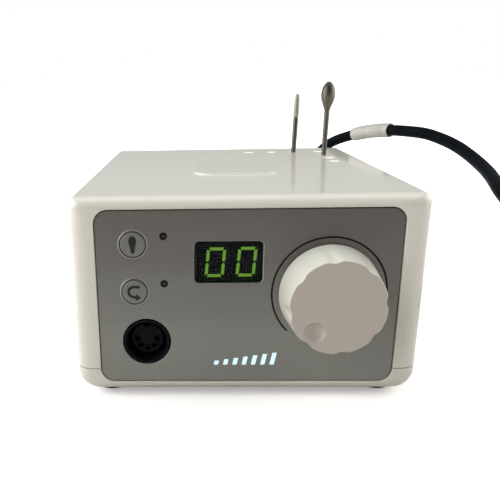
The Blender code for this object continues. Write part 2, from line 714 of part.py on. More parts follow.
# -------------------------------------------------------------------- boards
def make_boards():
    """The upright control board and the level main board, with fixing holes."""
    hole_r = 1.6
    control = box("control_board", "board", (-46, 45), (BOARD_FRONT, BOARD_BACK), (12.5, 62.5))
    for i, (x, z) in enumerate(((-43, 31), (42, 16), (42, 59))):
        minus(control, cylinder(f"board_hole_{i}", HELPER, (x, BOARD_BACK + 3, z), hole_r, 8,
                                TO_FRONT, 10))
    main = box("main_board", "board", (-4, 44), (-52, 40), MAIN_Z)
    for i, (x, y) in enumerate(((0, -48), (40, -48), (0, 36), (40, 36))):
        minus(main, cylinder(f"main_hole_{i}", HELPER, (x, y, 10), hole_r, 8, sides=10))


def make_ribbon_cable():
    """Flat cable between the boards: a bent sheet given thickness."""
    # (distance behind the control board, height)
    path = [(GAP, 30), (1.5, 29.2), (3.6, 26), (4.6, 21), (6.4, 16.8), (9.5, 15.4), (17, 15.2)]
    shape = bmesh.new()
    left, right = (
        [shape.verts.new(mm(x, BOARD_BACK + behind, z)) for behind, z in path]
        for x in (12, 24)
    )
    for i in range(len(path) - 1):
        shape.faces.new((left[i], left[i + 1], right[i + 1], right[i]))
    ribbon = add("ribbon_cable", finish(shape, "ribbon_cable"), "sleeve")
    sheet = ribbon.modifiers.new("thickness", "SOLIDIFY")
    sheet.thickness = 0.0005
    sheet.offset = 0.0


# ------------------------------------------------------------- power supply
def make_transformer():
    core = box("transformer_core", "lamination", (-46, -8), (4, 26), (5.4, 40.4))
    for name, x_span in (("core_window_a", (-40, -33.4)), ("core_window_b", (-20.6, -14))):
        minus(core, box(name, HELPER, x_span, (0, 30), (12, 33.8)))
    winding = box("transformer_winding", "copper", (-39.6, -14.4), (-2, 32), (12.4, 33.4),
                  round_edges=2.4, segments=3)
    minus(winding, box("winding_hole", HELPER, (-33.7, -20.3), (3.7, 26.3), (0, 50)))


def make_capacitor(name, x, y, radius, height, edge, steps):
    """A can whose top edge is cut by `edge` = (inwards, down)."""
    inwards, down = edge
    turned(name, "black_plastic", (x, y, MAIN_SEAT),
           [(0, height), (radius - inwards, height), (radius, height - down),
            (radius, 0), (0, 0)], None, steps)


def make_heat_sink():
    """A finned plate, and the driver in front of it."""
    left, fin_pitch, fin_t = 2, 6.5, 1.6
    sink_z = (MAIN_SEAT, 42)
    sink = box("heat_sink", "aluminium", (left, 30), (-18, -16), sink_z)
    for i in range(5):
        x = left + fin_pitch * i
        plus(sink, box(f"fin_{i}", HELPER, (x, x + fin_t), (-16.5, -6), sink_z))
    box("motor_driver", "black_plastic", (10, 20), (-22.8, -18.3), (22, 37))


def make_power_supply():
    make_transformer()
    box("bridge_rectifier", "black_plastic", (0, 15), (22, 26), (MAIN_SEAT, 29.9))
    make_capacitor("smoothing_capacitor", 29, 24, 8, 24.6, (0.8, 0.6), 24)
    make_capacitor("output_capacitor", 34, 4, 5, 12.7, (0.4, 0.5), 20)
    box("direction_relay", "relay", (2, 21), (-46, -31), (15.6, 30.6),
        round_edges=0.8, segments=1)
    make_heat_sink()


# ---------------------------------------------------------------- rear plate
def make_rear_panel():
    """Rear plate with its openings and a row of nine upright slots."""
    rear = plate("rear_panel", "shell", REAR_X, REAR_Z, REAR_R, (REAR_INNER, REAR_FACE))
    x, z = ROCKER_AT
    cut_y = around(REAR_FACE, 8)
    minus(rear, box("rocker_cutout", HELPER, around(x, 10.0), cut_y, around(z, 7.0)))
    drill_plate(rear, REAR_FACE, (
        ("fuse_hole", FUSE_AT, 6.4, 20),
        ("jack_hole", PEDAL_JACK_AT, 3.3, 16),
        ("cord_hole", CORD_AT, 5.6, 20),
    ))
    for i in range(9):
        minus(rear, box(f"rear_slot_{i}", HELPER, around(-24 + 6 * i, 1.1), cut_y, (50, 59)))


def make_power_switch():
    """Bezel and body with an open pocket, and the rocker tilted about X."""
    x, z = ROCKER_AT
    body = box("power_switch_body", "black_plastic", around(x, 9.6),
               (REAR_FACE - 17, REAR_FACE + 1), around(z, 6.6))
    plus(body, box("switch_bezel", HELPER, around(x, 10.8),
                   (REAR_FACE + GAP, REAR_FACE + 2.0), around(z, 7.8)))
    minus(body, box("switch_pocket", HELPER, around(x, 8.4),
                    (REAR_FACE - 7.5, REAR_FACE + 6), around(z, 5.7)))

    # side view (y, z) about the pivot; the outer face is a shallow V
    side_view = [(-3.2, -2.4), (-3.2, 2.4), (1.2, 4.8), (4.3, 4.5), (3.0, 0.0),
                 (4.3, -4.5), (1.2, -4.8)]
    cos, sin = math.cos(math.radians(ROCKER_TILT)), math.sin(math.radians(ROCKER_TILT))
    tilted = [(y * cos - z * sin, y * sin + z * cos) for y, z in side_view]
    ends = [[(end_x, y, z) for y, z in tilted] for end_x in (-ROCKER_HALF_W, ROCKER_HALF_W)]
    skin("power_rocker", "black_plastic", ends, (x, ROCKER_PIVOT_Y, z))


# Turned parts of the rear plate, their axes along +Y:
# name, material, (x, z), start from the rear face, steps, (radius, height) profile
REAR_TURNED = (
    ("fuse_holder", "black_plastic", FUSE_AT, -30, 24,
     [(8.0, 32.2), (8.0, 30.3), (6.1, 30.3), (6.1, 0), (0, 0), (0, 1.5), (4.4, 1.5),
      (4.4, 30.9), (6.6, 31.0), (6.6, 32.2)]),
    ("fuse_carrier", "black_plastic", FUSE_AT, -4, 24,
     [(0, 10.2), (5.2, 10.2), (5.8, 9.8), (6.2, 7.0), (6.2, 5.4), (4.0, 5.3), (4.0, 0),
      (2.9, 0), (2.9, 3.4), (0, 3.4)]),
    ("fuse_link", "glass", FUSE_AT, -21.2, 16,
     [(0, 20.2), (2.6, 20.2), (2.6, 0), (0, 0)]),
    ("pedal_jack_body", "black_plastic", PEDAL_JACK_AT, -15, 20,
     [(3.0, 17.4), (3.0, 12.6), (4.5, 12.6), (4.5, 0), (0, 0), (0, 3.0), (1.8, 3.0),
      (1.8, 17.4)]),
    ("pedal_jack_nut", "steel", PEDAL_JACK_AT, 0.2, 24,
     [(5.0, 1.5), (5.0, 0), (3.3, 0), (3.3, 1.5)]),
    ("strain_relief", "black_plastic", CORD_AT, -6, 20,
     [(3.9, 24), (4.6, 9.4), (7.4, 8.2), (7.4, 6.3), (5.3, 6.3), (5.3, 0), (2.9, 0),
      (2.9, 24)]),
)


def make_rear_turned():
    for name, material, (x, z), start, steps, profile in REAR_TURNED:
        turned(name, material, (x, REAR_FACE + start, z), profile, TO_BACK, steps)


# --------------------------------------------------------- the cord and plug
# (x, y, z) from inside the rear plate, over the housing's right side, to the plug
CORD_WAY = [
    (CORD_AT[0], 58, CORD_AT[1]), (CORD_AT[0], 76, CORD_AT[1]), (CORD_AT[0], 95, CORD_AT[1]),
    (33.5, 104, 30), (37.5, 109, 38), (43.5, 106.5, 51),
    (49.5, 100.5, 62), (56.5, 90.5, 71.7), (66, 78.5, 77), (73, 67.5, 79.6), (80, 56.5, 80.8),
    (89, 40.5, 80.7), (92.8, 33.5, 79.8), (97.5, 22, 77.3), (100.2, 10, 74.2),
    (100.9, -7, 70.3), (98.9, -22, 67.9), (95.8, -38, 65.2), (96.4, -54, 59.5),
    (102, -67, 50), (111, -76, 38.5), (121.5, -80.5, 25.5), (131, -78, 14.8),
    (136.6, -69, 8.8), (138, -58, 7.4), (138, -46, 7.4),
]


def catmull(points, step):
    """A Catmull-Rom way through the points, about one point each `step` mm."""
    knots = [Vector(point) for point in points]
    knots = [knots[0] * 2 - knots[1]] + knots + [knots[-1] * 2 - knots[-2]]
    way = []
    for before, start, end, after in zip(knots, knots[1:], knots[2:], knots[3:]):
        count = max(1, round((end - start).length / step))
        for i in range(count):
            t = i / count
            way.append(
                0.5 * (
                    2 * start
                    + (end - before) * t
                    + (2 * before - 5 * start + 4 * end - after) * t * t
                    + (3 * start - before - 3 * end + after) * t * t * t
                )
            )
    way.append(knots[-2])
    return way


def make_cord():
    tube("mains_cord", "cord", catmull(CORD_WAY, CORD_STEP), CORD_R)


def make_cord_sleeve():
    """The sleeve on a short length of the cord, from the point next to SLEEVE_START."""
    way = catmull(CORD_WAY, SLEEVE_STEP)
    start = min(range(len(way)), key=lambda i: (way[i] - Vector(SLEEVE_START)).length)
    length, end = 0.0, start
    while length < SLEEVE_LENGTH:
        length += (way[end + 1] - way[end]).length
        end += 1
    covered = way[start : end + 1]
    sleeve = tube("cord_sleeve", "sleeve", covered, SLEEVE_R)
    # the bore runs past both ends
    first = covered[0] + (covered[0] - covered[1]).normalized() * 2
    last = covered[-1] + (covered[-1] - covered[-2]).normalized() * 2
    minus(sleeve, tube("sleeve_bore", HELPER, [first, *covered, last], SLEEVE_BORE_R))


def make_plug():
    """Two-pin plug lying on the table, pins towards +Y."""
    x, y, z = PLUG
    # distance from the cord end, half width, half height, corner radius
    stations = (
        (0, 5.0, 4.6, 4.2), (4, 6.2, 5.6, 4.8), (14, 9.4, 6.6, 5.4),
        (24, 12.4, 6.8, 5.6), (33, 13.0, 6.8, 5.6), (35, 12.4, 6.2, 5.2),
    )
    plug = loft("plug_body", "cord", [
        (y + along, rounded(around(x, half_w), around(z, half_h), radius, radius))
        for along, half_w, half_h, radius in stations
    ])
    minus(plug, cylinder("plug_cord_way", HELPER, (x, y - 5, z), CORD_R + GAP, 12, TO_BACK, 16))
    pin = [(0, 24), (1.5, 24), (2.0, 23.2), (2.0, 0), (0, 0)]
    for side, name in ((-1, "plug_pin_left"), (1, "plug_pin_right")):
        pin_x = x + side * PIN_OFF
        minus(plug, cylinder(f"{name}_way", HELPER, (pin_x, y + 29, z), 2.3, 12, TO_BACK, 14))
        turned(name, "brass", (pin_x, y + PIN_START, z), pin, TO_BACK, 14)


# ------------------------------------------------------ bits standing in rest
def make_bit(name, at, lean, head_profile):
    """A bit whose axis leans towards +X and crosses the top face at `at`.

    The head's (radius, height above the top face) pairs run down to the shank.
    """
    turn = Matrix.Rotation(math.radians(lean), 3, "Y")
    bottom = Vector((at[0], at[1], TOP_Z)) - turn @ Vector((0, 0, BIT_BELOW))
    shank_end = [(SHANK_R, 0.4 - BIT_BELOW), (SHANK_R - 0.35, -BIT_BELOW), (0, -BIT_BELOW)]
    profile = [(radius, height + BIT_BELOW) for radius, height in head_profile + shank_end]
    turned(name, "bit_steel", bottom, profile, turn, 20)


def make_needle_bit():
    head, tip = NEEDLE_HEAD, NEEDLE_TIP
    make_bit("bit_needle", NEEDLE_AT, NEEDLE_LEAN, [
        (0, tip), (0.3, tip - 0.3), (0.75, tip - 2.6), (1.12, tip - 5.8),
        (1.3, head + 1.2), (1.22, head), (SHANK_R, head - 0.3),
    ])


def make_olive_bit():
    """A rounded football shape, fullest just above its middle."""
    profile = [(0, OLIVE_TIP)]
    for i in range(1, OLIVE_STEPS):
        t = i / OLIVE_STEPS
        radius = OLIVE_R * math.sin(math.pi * t**1.08) ** 0.8
        least = SHANK_R if t > 0.8 else 0.2
        profile.append((max(radius, least), OLIVE_TIP - (OLIVE_TIP - OLIVE_HEAD) * t))
    make_bit("bit_olive", OLIVE_AT, OLIVE_LEAN, profile + [(SHANK_R, OLIVE_HEAD)])


# ----------------------------------------------------------- feet and screws
def make_feet_and_screws():
    """Numbered from the front left, left to right, then the back pair."""
    foot = [(0, FOOT_H), (FOOT_R, FOOT_H), (FOOT_R, 0.5), (FOOT_R - 0.5, 0), (0, 0)]
    screw = [(0, 19), (0.8, 19), (1.45, 18), (1.45, 2.7), (3.2, 2.7), (3.2, 0.6),
             (2.6, 0), (0, 0)]
    screw_z = 3.6  # underside of the screw head
    signs = ((-1, -1), (1, -1), (-1, 1), (1, 1))
    for number, (x_sign, y_sign) in enumerate(signs, start=1):
        turned(f"rubber_foot_{number}", "rubber",
               (x_sign * FOOT_AT[0], y_sign * FOOT_AT[1], 0), foot, steps=24)
        turned(f"case_screw_{number}", "steel",
               (x_sign * BOSS_AT[0], y_sign * BOSS_AT[1], screw_z), screw, steps=12)


# --------------------------------------------------------------------- build
make_housing()
make_front_panel()
make_light_guide()
make_display()
for lamp, lamp_at in LAMPS.items():
    make_status_lamp(lamp, lamp_at)
for button, button_at in BUTTONS.items():
    make_button(button, button_at)
make_handpiece_socket()
make_knob()
make_potentiometer()
make_boards()
make_ribbon_cable()
make_power_supply()
make_rear_panel()
make_power_switch()
make_rear_turned()
make_cord()
make_cord_sleeve()
make_plug()
make_needle_bit()
make_olive_bit()
make_feet_and_screws()
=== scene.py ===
"""The looks of the electric nail drill's control box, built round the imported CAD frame."""

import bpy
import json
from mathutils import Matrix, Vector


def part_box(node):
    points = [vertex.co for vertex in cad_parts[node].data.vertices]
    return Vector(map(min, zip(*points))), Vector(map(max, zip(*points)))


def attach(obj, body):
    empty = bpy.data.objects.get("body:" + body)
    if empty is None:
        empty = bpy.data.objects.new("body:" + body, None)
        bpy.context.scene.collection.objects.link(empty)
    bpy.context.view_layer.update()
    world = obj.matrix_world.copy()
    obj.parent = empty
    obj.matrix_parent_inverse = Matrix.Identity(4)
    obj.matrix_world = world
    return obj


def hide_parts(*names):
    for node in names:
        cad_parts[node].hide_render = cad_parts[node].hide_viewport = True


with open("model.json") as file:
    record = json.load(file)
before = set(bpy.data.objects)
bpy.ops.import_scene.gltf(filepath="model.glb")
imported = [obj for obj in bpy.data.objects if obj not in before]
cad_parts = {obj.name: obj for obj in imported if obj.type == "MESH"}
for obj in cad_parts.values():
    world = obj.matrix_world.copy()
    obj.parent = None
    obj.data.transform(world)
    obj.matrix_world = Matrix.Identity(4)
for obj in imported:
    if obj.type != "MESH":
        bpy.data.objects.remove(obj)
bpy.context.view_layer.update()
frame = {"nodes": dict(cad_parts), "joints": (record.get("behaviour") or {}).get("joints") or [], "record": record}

import json
import math

import bmesh
import bpy
import numpy as np
from mathutils import Matrix, Vector

NODES = frame["nodes"]


def B(node):
    """A CAD node's corners in millimetres."""
    lo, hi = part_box(node)
    return lo * 1000, hi * 1000


def mid(node):
    lo, hi = B(node)
    return (lo + hi) / 2


# ------------------------------------------------------- sizes from the frame
cover_lo, cover_hi = B("upper_cover")
tray_lo, tray_hi = B("base_tray")
HALF_W = (cover_hi.x - cover_lo.x) / 2
LABEL_H = 0.6  # the raised pad on the top
FRONT_Y, BACK_Y, TOP_Z = cover_lo.y, cover_hi.y, cover_hi.z - LABEL_H
PAD_Z = tray_lo.z
FLOOR_Z = PAD_Z + 0.4
SEAM = (cover_lo.z + tray_hi.z) / 2
TABLE_Z = B("rubber_foot_1")[0].z
plate_lo, plate_hi = B("front_panel")
FACE_Y, PLATE_BACK = plate_lo.y, plate_hi.y
rear_lo, rear_hi = B("rear_panel")
GAP = 0.3
WALL = 2.2
RX, RY, RZ = 6.6, 4.4, 3.5  # rounding of the front rim
R_TOP, R_BOTTOM, BACK_R = 2.8, 7.0, 2.0

# ------------------------------------------------------------------ materials


def new_material(name):
    m = bpy.data.materials.new(name)
    m.use_nodes = True
    nt = m.node_tree
    return m, nt, nt.nodes["Principled BSDF"]


def link(nt, a, b):
    nt.links.new(a, b)


def noise(nt, scale, detail=2.0, rough=0.5, stretch=None, coord="Object"):
    tc = nt.nodes.new("ShaderNodeTexCoord")
    out = tc.outputs[coord]
    if stretch:
        mp = nt.nodes.new("ShaderNodeMapping")
        mp.inputs["Scale"].default_value = stretch
        link(nt, out, mp.inputs["Vector"])
        out = mp.outputs["Vector"]
    n = nt.nodes.new("ShaderNodeTexNoise")
    n.inputs["Scale"].default_value = scale
    n.inputs["Detail"].default_value = detail
    n.inputs["Roughness"].default_value = rough
    link(nt, out, n.inputs["Vector"])
    return n.outputs["Fac"]


def spread(nt, fac, lo, hi, a=0.22, b=0.78):
    r = nt.nodes.new("ShaderNodeMapRange")
    r.interpolation_type = "SMOOTHSTEP"
    r.inputs["From Min"].default_value = a
    r.inputs["From Max"].default_value = b
    r.inputs["To Min"].default_value = lo
    r.inputs["To Max"].default_value = hi
    link(nt, fac, r.inputs["Value"])
    return r.outputs["Result"]


def mix_colour(nt, fac, a, b):
    m = nt.nodes.new("ShaderNodeMix")
    m.data_type = "RGBA"
    for socket, value in ((m.inputs["A"], a), (m.inputs["B"], b)):
        if isinstance(value, (tuple, list)):
            socket.default_value = (*value[:3], 1)
        else:
            link(nt, value, socket)
    if isinstance(fac, float):
        m.inputs["Factor"].default_value = fac
    else:
        link(nt, fac, m.inputs["Factor"])
    return m.outputs["Result"]


def bump(nt, shader, fac, distance, strength=1.0, prior=None):
    b = nt.nodes.new("ShaderNodeBump")
    b.inputs["Distance"].default_value = distance
    b.inputs["Strength"].default_value = strength
    link(nt, fac, b.inputs["Height"])
    if prior is not None:
        link(nt, prior, b.inputs["Normal"])
    link(nt, b.outputs["Normal"], shader.inputs["Normal"])
    return b.outputs["Normal"]


def surface(
    name, colour, rough=0.35, metal=0.0, tint=None, vary=0.5, vary_scale=60.0,
    rough_vary=0.05, grain=0.000004, grain_scale=2500.0, stretch=None, coat=0.0,
    coat_rough=0.08, spec=0.5, grime=None,
):
    """A procedural finish: blotchy colour, uneven roughness and a fine grain in the normals."""
    m, nt, s = new_material(name)
    tint = tint or tuple(c * 0.9 for c in colour)
    broad = noise(nt, vary_scale, 3.0, 0.6, stretch)
    base = mix_colour(nt, spread(nt, broad, 0.0, vary), colour, tint)
    if grime:
        g = nt.nodes.new("ShaderNodeNewGeometry")
        dark = spread(nt, g.outputs["Pointiness"], 1.0, 0.0, 0.42, 0.49)
        base = mix_colour(nt, dark, base, grime)
    link(nt, base, s.inputs["Base Color"])
    s.inputs["Roughness"].default_value = rough
    if rough_vary:
        uneven = noise(nt, vary_scale * 6, 2.0, 0.5, stretch)
        link(nt, spread(nt, uneven, rough - rough_vary, rough + rough_vary), s.inputs["Roughness"])
    s.inputs["Metallic"].default_value = metal
    s.inputs["Specular IOR Level"].default_value = spec
    s.inputs["Coat Weight"].default_value = coat
    s.inputs["Coat Roughness"].default_value = coat_rough
    if grain:
        bump(nt, s, noise(nt, grain_scale, 2.0, 0.5, stretch), grain)
    return m


def glow(name, colour, strength, under=(0.02, 0.02, 0.02)):
    """A lit element: emission whose tone varies a little at random."""
    m, nt, s = new_material(name)
    s.inputs["Base Color"].default_value = (*under, 1)
    s.inputs["Roughness"].default_value = 0.4
    soft = spread(nt, noise(nt, 900, 2.0), 0.86, 1.1)
    tone = mix_colour(nt, soft, tuple(c * 0.8 for c in colour), colour)
    link(nt, tone, s.inputs["Emission Color"])
    s.inputs["Emission Strength"].default_value = strength
    return m


MAT = {}
# warm off-white moulded ABS: a glossy skin whose tone varies faintly
MAT["housing"] = surface(
    "housing_abs", (0.68, 0.675, 0.62), 0.30, tint=(0.672, 0.666, 0.61), vary=1.0, vary_scale=9,
    rough_vary=0.0, grain=0, coat=0.7, coat_rough=0.045,
)
# painted highlight: near-white for the countersunk mouths of the rest holes, standing in for the light they catch
MAT["rest_rim"] = surface(
    "hole_rim_painted_highlight", (0.93, 0.93, 0.90), 0.18, tint=(0.90, 0.90, 0.86), vary=0.5, grain=0, coat=0.6,
)
MAT["knob"] = surface(
    "knob_abs", (0.458, 0.424, 0.389), 0.34, tint=(0.446, 0.411, 0.376), vary=0.5, vary_scale=45,
    rough_vary=0.02, grain=0.0000006, grain_scale=2600, coat=0.4, coat_rough=0.14,
)
# painted light: the side-facing skirt is coloured paler than the front face, which stands in for the brighter light on
# its sides
nt = MAT["knob"].node_tree
way, turned = nt.nodes.new("ShaderNodeNewGeometry"), nt.nodes.new("ShaderNodeSeparateXYZ")
link(nt, way.outputs["Normal"], turned.inputs[0])
face = nt.nodes["Principled BSDF"].inputs["Base Color"]
link(nt, mix_colour(nt, spread(nt, turned.outputs["Y"], 0.0, 1.0, -0.8, -0.35), face.links[0].from_socket, (0.69, 0.695, 0.635)), face)
MAT["rubber"] = surface("foot_rubber", (0.016, 0.016, 0.016), 0.75, grain=0.00002, grain_scale=2200, spec=0.35)
MAT["black_plastic"] = surface(
    "black_moulding", (0.012, 0.012, 0.014), 0.42, tint=(0.02, 0.02, 0.022), grain=0.00001, grain_scale=3000
)
MAT["socket"] = surface(
    "socket_moulding", (0.0010, 0.0016, 0.0022), 0.5, tint=(0.0022, 0.0035, 0.0048), grain=0.000004, grain_scale=3500, spec=0.09
)
# painted shade: dark grey metal for the socket pins, standing in for the shade deep inside the socket
MAT["contact_dark"] = surface("contact_painted_shade", (0.055, 0.062, 0.066), 0.4, 0.7, tint=(0.03, 0.034, 0.036), grain=0)
MAT["steel"] = surface(
    "plated_steel", (0.52, 0.52, 0.50), 0.3, 1.0, tint=(0.42, 0.41, 0.39), grain=0.000003, grain_scale=4000
)
MAT["brass"] = surface("contact_metal", (0.66, 0.55, 0.34), 0.28, 1.0, tint=(0.5, 0.42, 0.28))
MAT["lamination"] = surface(
    "laminations", (0.16, 0.16, 0.17), 0.5, 0.85, vary_scale=120, stretch=(1, 1, 30), grain=0.00004, grain_scale=90
)
MAT["winding"] = surface(
    "winding_tape", (0.62, 0.46, 0.06), 0.35, tint=(0.45, 0.3, 0.04), stretch=(1, 1, 14), grain=0.00003, grain_scale=160
)
MAT["relay"] = surface("relay_case", (0.02, 0.1, 0.34), 0.3)
MAT["aluminium"] = surface(
    "extrusion", (0.55, 0.55, 0.57), 0.38, 1.0, stretch=(1, 1, 0.05), grain=0.00001, grain_scale=3000
)
MAT["fuse_glass"] = surface("fuse_tube", (0.75, 0.78, 0.76), 0.08, 0.3, grain=0)
MAT["ribbon"] = surface("ribbon", (0.42, 0.42, 0.45), 0.5, stretch=(40, 1, 1), vary=1.0, vary_scale=20)


def plate_finish():
    """Satin metallic grey: fine flake and a soft horizontal drift, with painted light: a painted reflection of the pale
    floor lightens it towards the lower edge, and painted side light lightens it to the left.
    """
    m, nt, s = new_material("plate_metallic")
    tc = nt.nodes.new("ShaderNodeTexCoord")
    sep = nt.nodes.new("ShaderNodeSeparateXYZ")
    link(nt, tc.outputs["Object"], sep.inputs["Vector"])
    # painted reflection and painted side light: masks that lighten the plate towards its lower edge and towards its
    # left
    low = spread(nt, sep.outputs["Z"], 0.92, 0.0, plate_lo.z / 1000, plate_hi.z / 1000)
    left = spread(nt, sep.outputs["X"], 0.20, 0.0, plate_lo.x / 1000, plate_hi.x / 1000)
    streak = spread(nt, noise(nt, 26, 3.0, 0.6, (0.35, 1, 3.0)), -0.07, 0.07)
    parts = []
    for a, b in ((low, left), (None, streak)):
        add = nt.nodes.new("ShaderNodeMath")
        add.operation = "ADD"
        add.use_clamp = a is None
        link(nt, a if a is not None else parts[-1], add.inputs[0])
        link(nt, b, add.inputs[1])
        parts.append(add.outputs[0])
    painted_light_lift = parts[-1]
    broad = noise(nt, 14, 3.0, 0.6, (0.6, 1, 1.6))
    base = mix_colour(nt, spread(nt, broad, 0.0, 1.0, 0.35, 0.65), (0.086, 0.077, 0.071), (0.097, 0.087, 0.080))
    # the painted light: a paler grey mixed in where the plate would mirror the floor or catch the side light
    base = mix_colour(nt, painted_light_lift, base, (0.200, 0.206, 0.190))
    flake = noise(nt, 9000, 1.0, 0.5)
    base = mix_colour(nt, spread(nt, flake, 0.0, 0.35, 0.45, 0.75), base, (0.26, 0.265, 0.25))
    link(nt, base, s.inputs["Base Color"])
    s.inputs["Metallic"].default_value = 0.35
    link(nt, spread(nt, noise(nt, 300, 2.0), 0.36, 0.46), s.inputs["Roughness"])
    s.inputs["Coat Weight"].default_value = 0.15
    s.inputs["Coat Roughness"].default_value = 0.3
    bump(nt, s, noise(nt, 5200, 1.0), 0.000004)
    return m


MAT["front_plate"] = plate_finish()
# painted highlight: a lighter metallic grey for the beads and hole rims, standing in for the light they catch
MAT["plate_edge"] = surface("plate_rim_painted_highlight", (0.29, 0.29, 0.27), 0.35, 0.4, tint=(0.25, 0.25, 0.232), grain=0.000002)
MAT["button"] = surface(
    "button_satin", (0.158, 0.162, 0.150), 0.42, 0.3, tint=(0.172, 0.176, 0.163), vary_scale=90,
    grain=0.000004, grain_scale=5000,
)
MAT["ink"] = surface("printed_ink", (0.024, 0.024, 0.0225), 0.55, tint=(0.036, 0.036, 0.033), vary_scale=400, grain=0.000002, spec=0.12)
MAT["ink_dark"] = surface("printed_black", (0.008, 0.008, 0.0075), 0.5, tint=(0.012, 0.012, 0.011), vary_scale=400, grain=0.000002, spec=0.1)
MAT["lamp"] = surface("lamp_lens", (0.020, 0.019, 0.0175), 0.3, tint=(0.045, 0.042, 0.038), vary_scale=500, grain=0, spec=0.3)
MAT["segment"] = glow("segment_lit", (0.20, 0.49, 0.003), 0.78)
MAT["segment_off"] = surface("segment_unlit", (0.0045, 0.0042, 0.008), 0.5, tint=(0.007, 0.005, 0.007), spec=0.06)
MAT["display_face"] = surface("module_face", (0.0016, 0.0018, 0.0042), 0.5, tint=(0.0035, 0.0018, 0.004), vary_scale=260, spec=0.06)
MAT["light_guide"] = glow("mark_lit", (0.60, 0.88, 0.96), 0.95, (0.3, 0.32, 0.34))


def smoked_window():
    """A dark filter: it tints what lies behind it and mirrors the room at a slant."""
    m, nt, s = new_material("smoked_filter")
    out = nt.nodes["Material Output"]
    nt.nodes.remove(s)
    clear = nt.nodes.new("ShaderNodeBsdfTransparent")
    tint = mix_colour(nt, noise(nt, 120, 2.0), (0.80, 0.84, 0.86), (0.84, 0.86, 0.90))
    link(nt, tint, clear.inputs["Color"])
    gloss = nt.nodes.new("ShaderNodeBsdfGlossy")
    gloss.inputs["Roughness"].default_value = 0.06
    fresnel = nt.nodes.new("ShaderNodeFresnel")
    fresnel.inputs["IOR"].default_value = 1.16
    mix = nt.nodes.new("ShaderNodeMixShader")
    link(nt, fresnel.outputs["Fac"], mix.inputs["Fac"])
    link(nt, clear.outputs["BSDF"], mix.inputs[1])
    link(nt, gloss.outputs["BSDF"], mix.inputs[2])
    link(nt, mix.outputs["Shader"], out.inputs["Surface"])
    return m


MAT["display_window"] = smoked_window()


def board_finish():
    """Green solder mask with darker copper runs showing through it."""
    m, nt, s = new_material("solder_mask")
    tc = nt.nodes.new("ShaderNodeTexCoord")
    brick = nt.nodes.new("ShaderNodeTexBrick")
    brick.inputs["Scale"].default_value = 190
    brick.inputs["Mortar Size"].default_value = 0.018
    brick.inputs["Color1"].default_value = (0.012, 0.12, 0.035, 1)
    brick.inputs["Color2"].default_value = (0.014, 0.14, 0.045, 1)
    brick.inputs["Mortar"].default_value = (0.03, 0.24, 0.08, 1)
    link(nt, tc.outputs["Object"], brick.inputs["Vector"])
    link(nt, brick.outputs["Color"], s.inputs["Base Color"])
    link(nt, spread(nt, noise(nt, 500), 0.25, 0.4), s.inputs["Roughness"])
    bump(nt, s, brick.outputs["Fac"], 0.00003)
    return m


MAT["board"] = board_finish()


def cord_finish():
    """Black PVC jacket with a cool sheen and the faint twist of the cores under it."""
    m, nt, s = new_material("cord_jacket")
    base = mix_colour(nt, spread(nt, noise(nt, 130, 3.0), 0.0, 1.0), (0.0022, 0.0032, 0.0046), (0.004, 0.0055, 0.0078))
    s.inputs["Specular IOR Level"].default_value = 0.02
    link(nt, base, s.inputs["Base Color"])
    link(nt, spread(nt, noise(nt, 700, 2.0), 0.36, 0.52), s.inputs["Roughness"])
    s.inputs["Sheen Weight"].default_value = 0.008
    s.inputs["Sheen Tint"].default_value = (0.5, 0.6, 1.0, 1)
    bump(nt, s, noise(nt, 2400, 2.0), 0.00001)
    return m


MAT["cord"] = cord_finish()
MAT["sleeve"] = surface(
    "sleeve_pvc", (0.45, 0.444, 0.414), 0.5, tint=(0.315, 0.308, 0.285), vary=0.8, vary_scale=160,
    grain=0.00001, grain_scale=1800,
)


def bit_steel():
    """Ground tool steel: fine rings round the shank and a warm tone."""
    m, nt, s = new_material("bit_ground_steel")
    rings = noise(nt, 240, 3.0, 0.6, (1, 1, 14))
    base = mix_colour(nt, spread(nt, rings, 0.0, 1.0), (0.125, 0.115, 0.098), (0.165, 0.153, 0.131))
    link(nt, base, s.inputs["Base Color"])
    s.inputs["Metallic"].default_value = 1.0
    link(nt, spread(nt, noise(nt, 900, 2.0, 0.5, (1, 1, 9)), 0.42, 0.50), s.inputs["Roughness"])
    return m


def bit_grit():
    """Bonded abrasive: dense bright grains in a dull grey plating."""
    m, nt, s = new_material("bit_grit")
    tc = nt.nodes.new("ShaderNodeTexCoord")
    v = nt.nodes.new("ShaderNodeTexVoronoi")
    v.inputs["Scale"].default_value = 5200
    link(nt, tc.outputs["Object"], v.inputs["Vector"])
    base = mix_colour(nt, spread(nt, v.outputs["Distance"], 0.0, 1.0, 0.1, 0.5), (0.52, 0.50, 0.44), (0.30, 0.285, 0.245))
    link(nt, base, s.inputs["Base Color"])
    s.inputs["Metallic"].default_value = 0.7
    s.inputs["Roughness"].default_value = 0.5
    bump(nt, s, v.outputs["Distance"], 0.00006, 0.8)
    return m


MAT["bit_steel"] = bit_steel()
MAT["bit_grit"] = bit_grit()

# -------------------------------------------------------------- mesh builders
SCENE = bpy.context.scene


def finish_mesh(bm, name, material, angle=35.0, recalc=True):
    if recalc:
        bmesh.ops.recalc_face_normals(bm, faces=bm.faces)
    me = bpy.data.meshes.new(name)
    bm.to_mesh(me)
    bm.free()
    ob = bpy.data.objects.new(name, me)
    SCENE.collection.objects.link(ob)
    if material is not None:
        me.materials.append(MAT[material] if isinstance(material, str) else material)
    me.shade_smooth()
    me.set_sharp_from_angle(angle=math.radians(angle))
    return ob


def ring_loft(name, rings, material, caps=True, loop=False, angle=35.0):
    """Quads between rings of points (mm), with n-gon ends, or joined end to end."""
    bm = bmesh.new()
    made = [[bm.verts.new(Vector(p) * 0.001) for p in ring] for ring in rings]
    pairs = list(zip(made, made[1:])) + ([(made[-1], made[0])] if loop else [])
    for a, b in pairs:
        n = len(a)
        for i in range(n):
            j = (i + 1) % n
            bm.faces.new((a[i], a[j], b[j], b[i]))
    if caps and not loop:
        bm.faces.new(made[0])
        bm.faces.new(list(reversed(made[-1])))
    return finish_mesh(bm, name, material, angle)


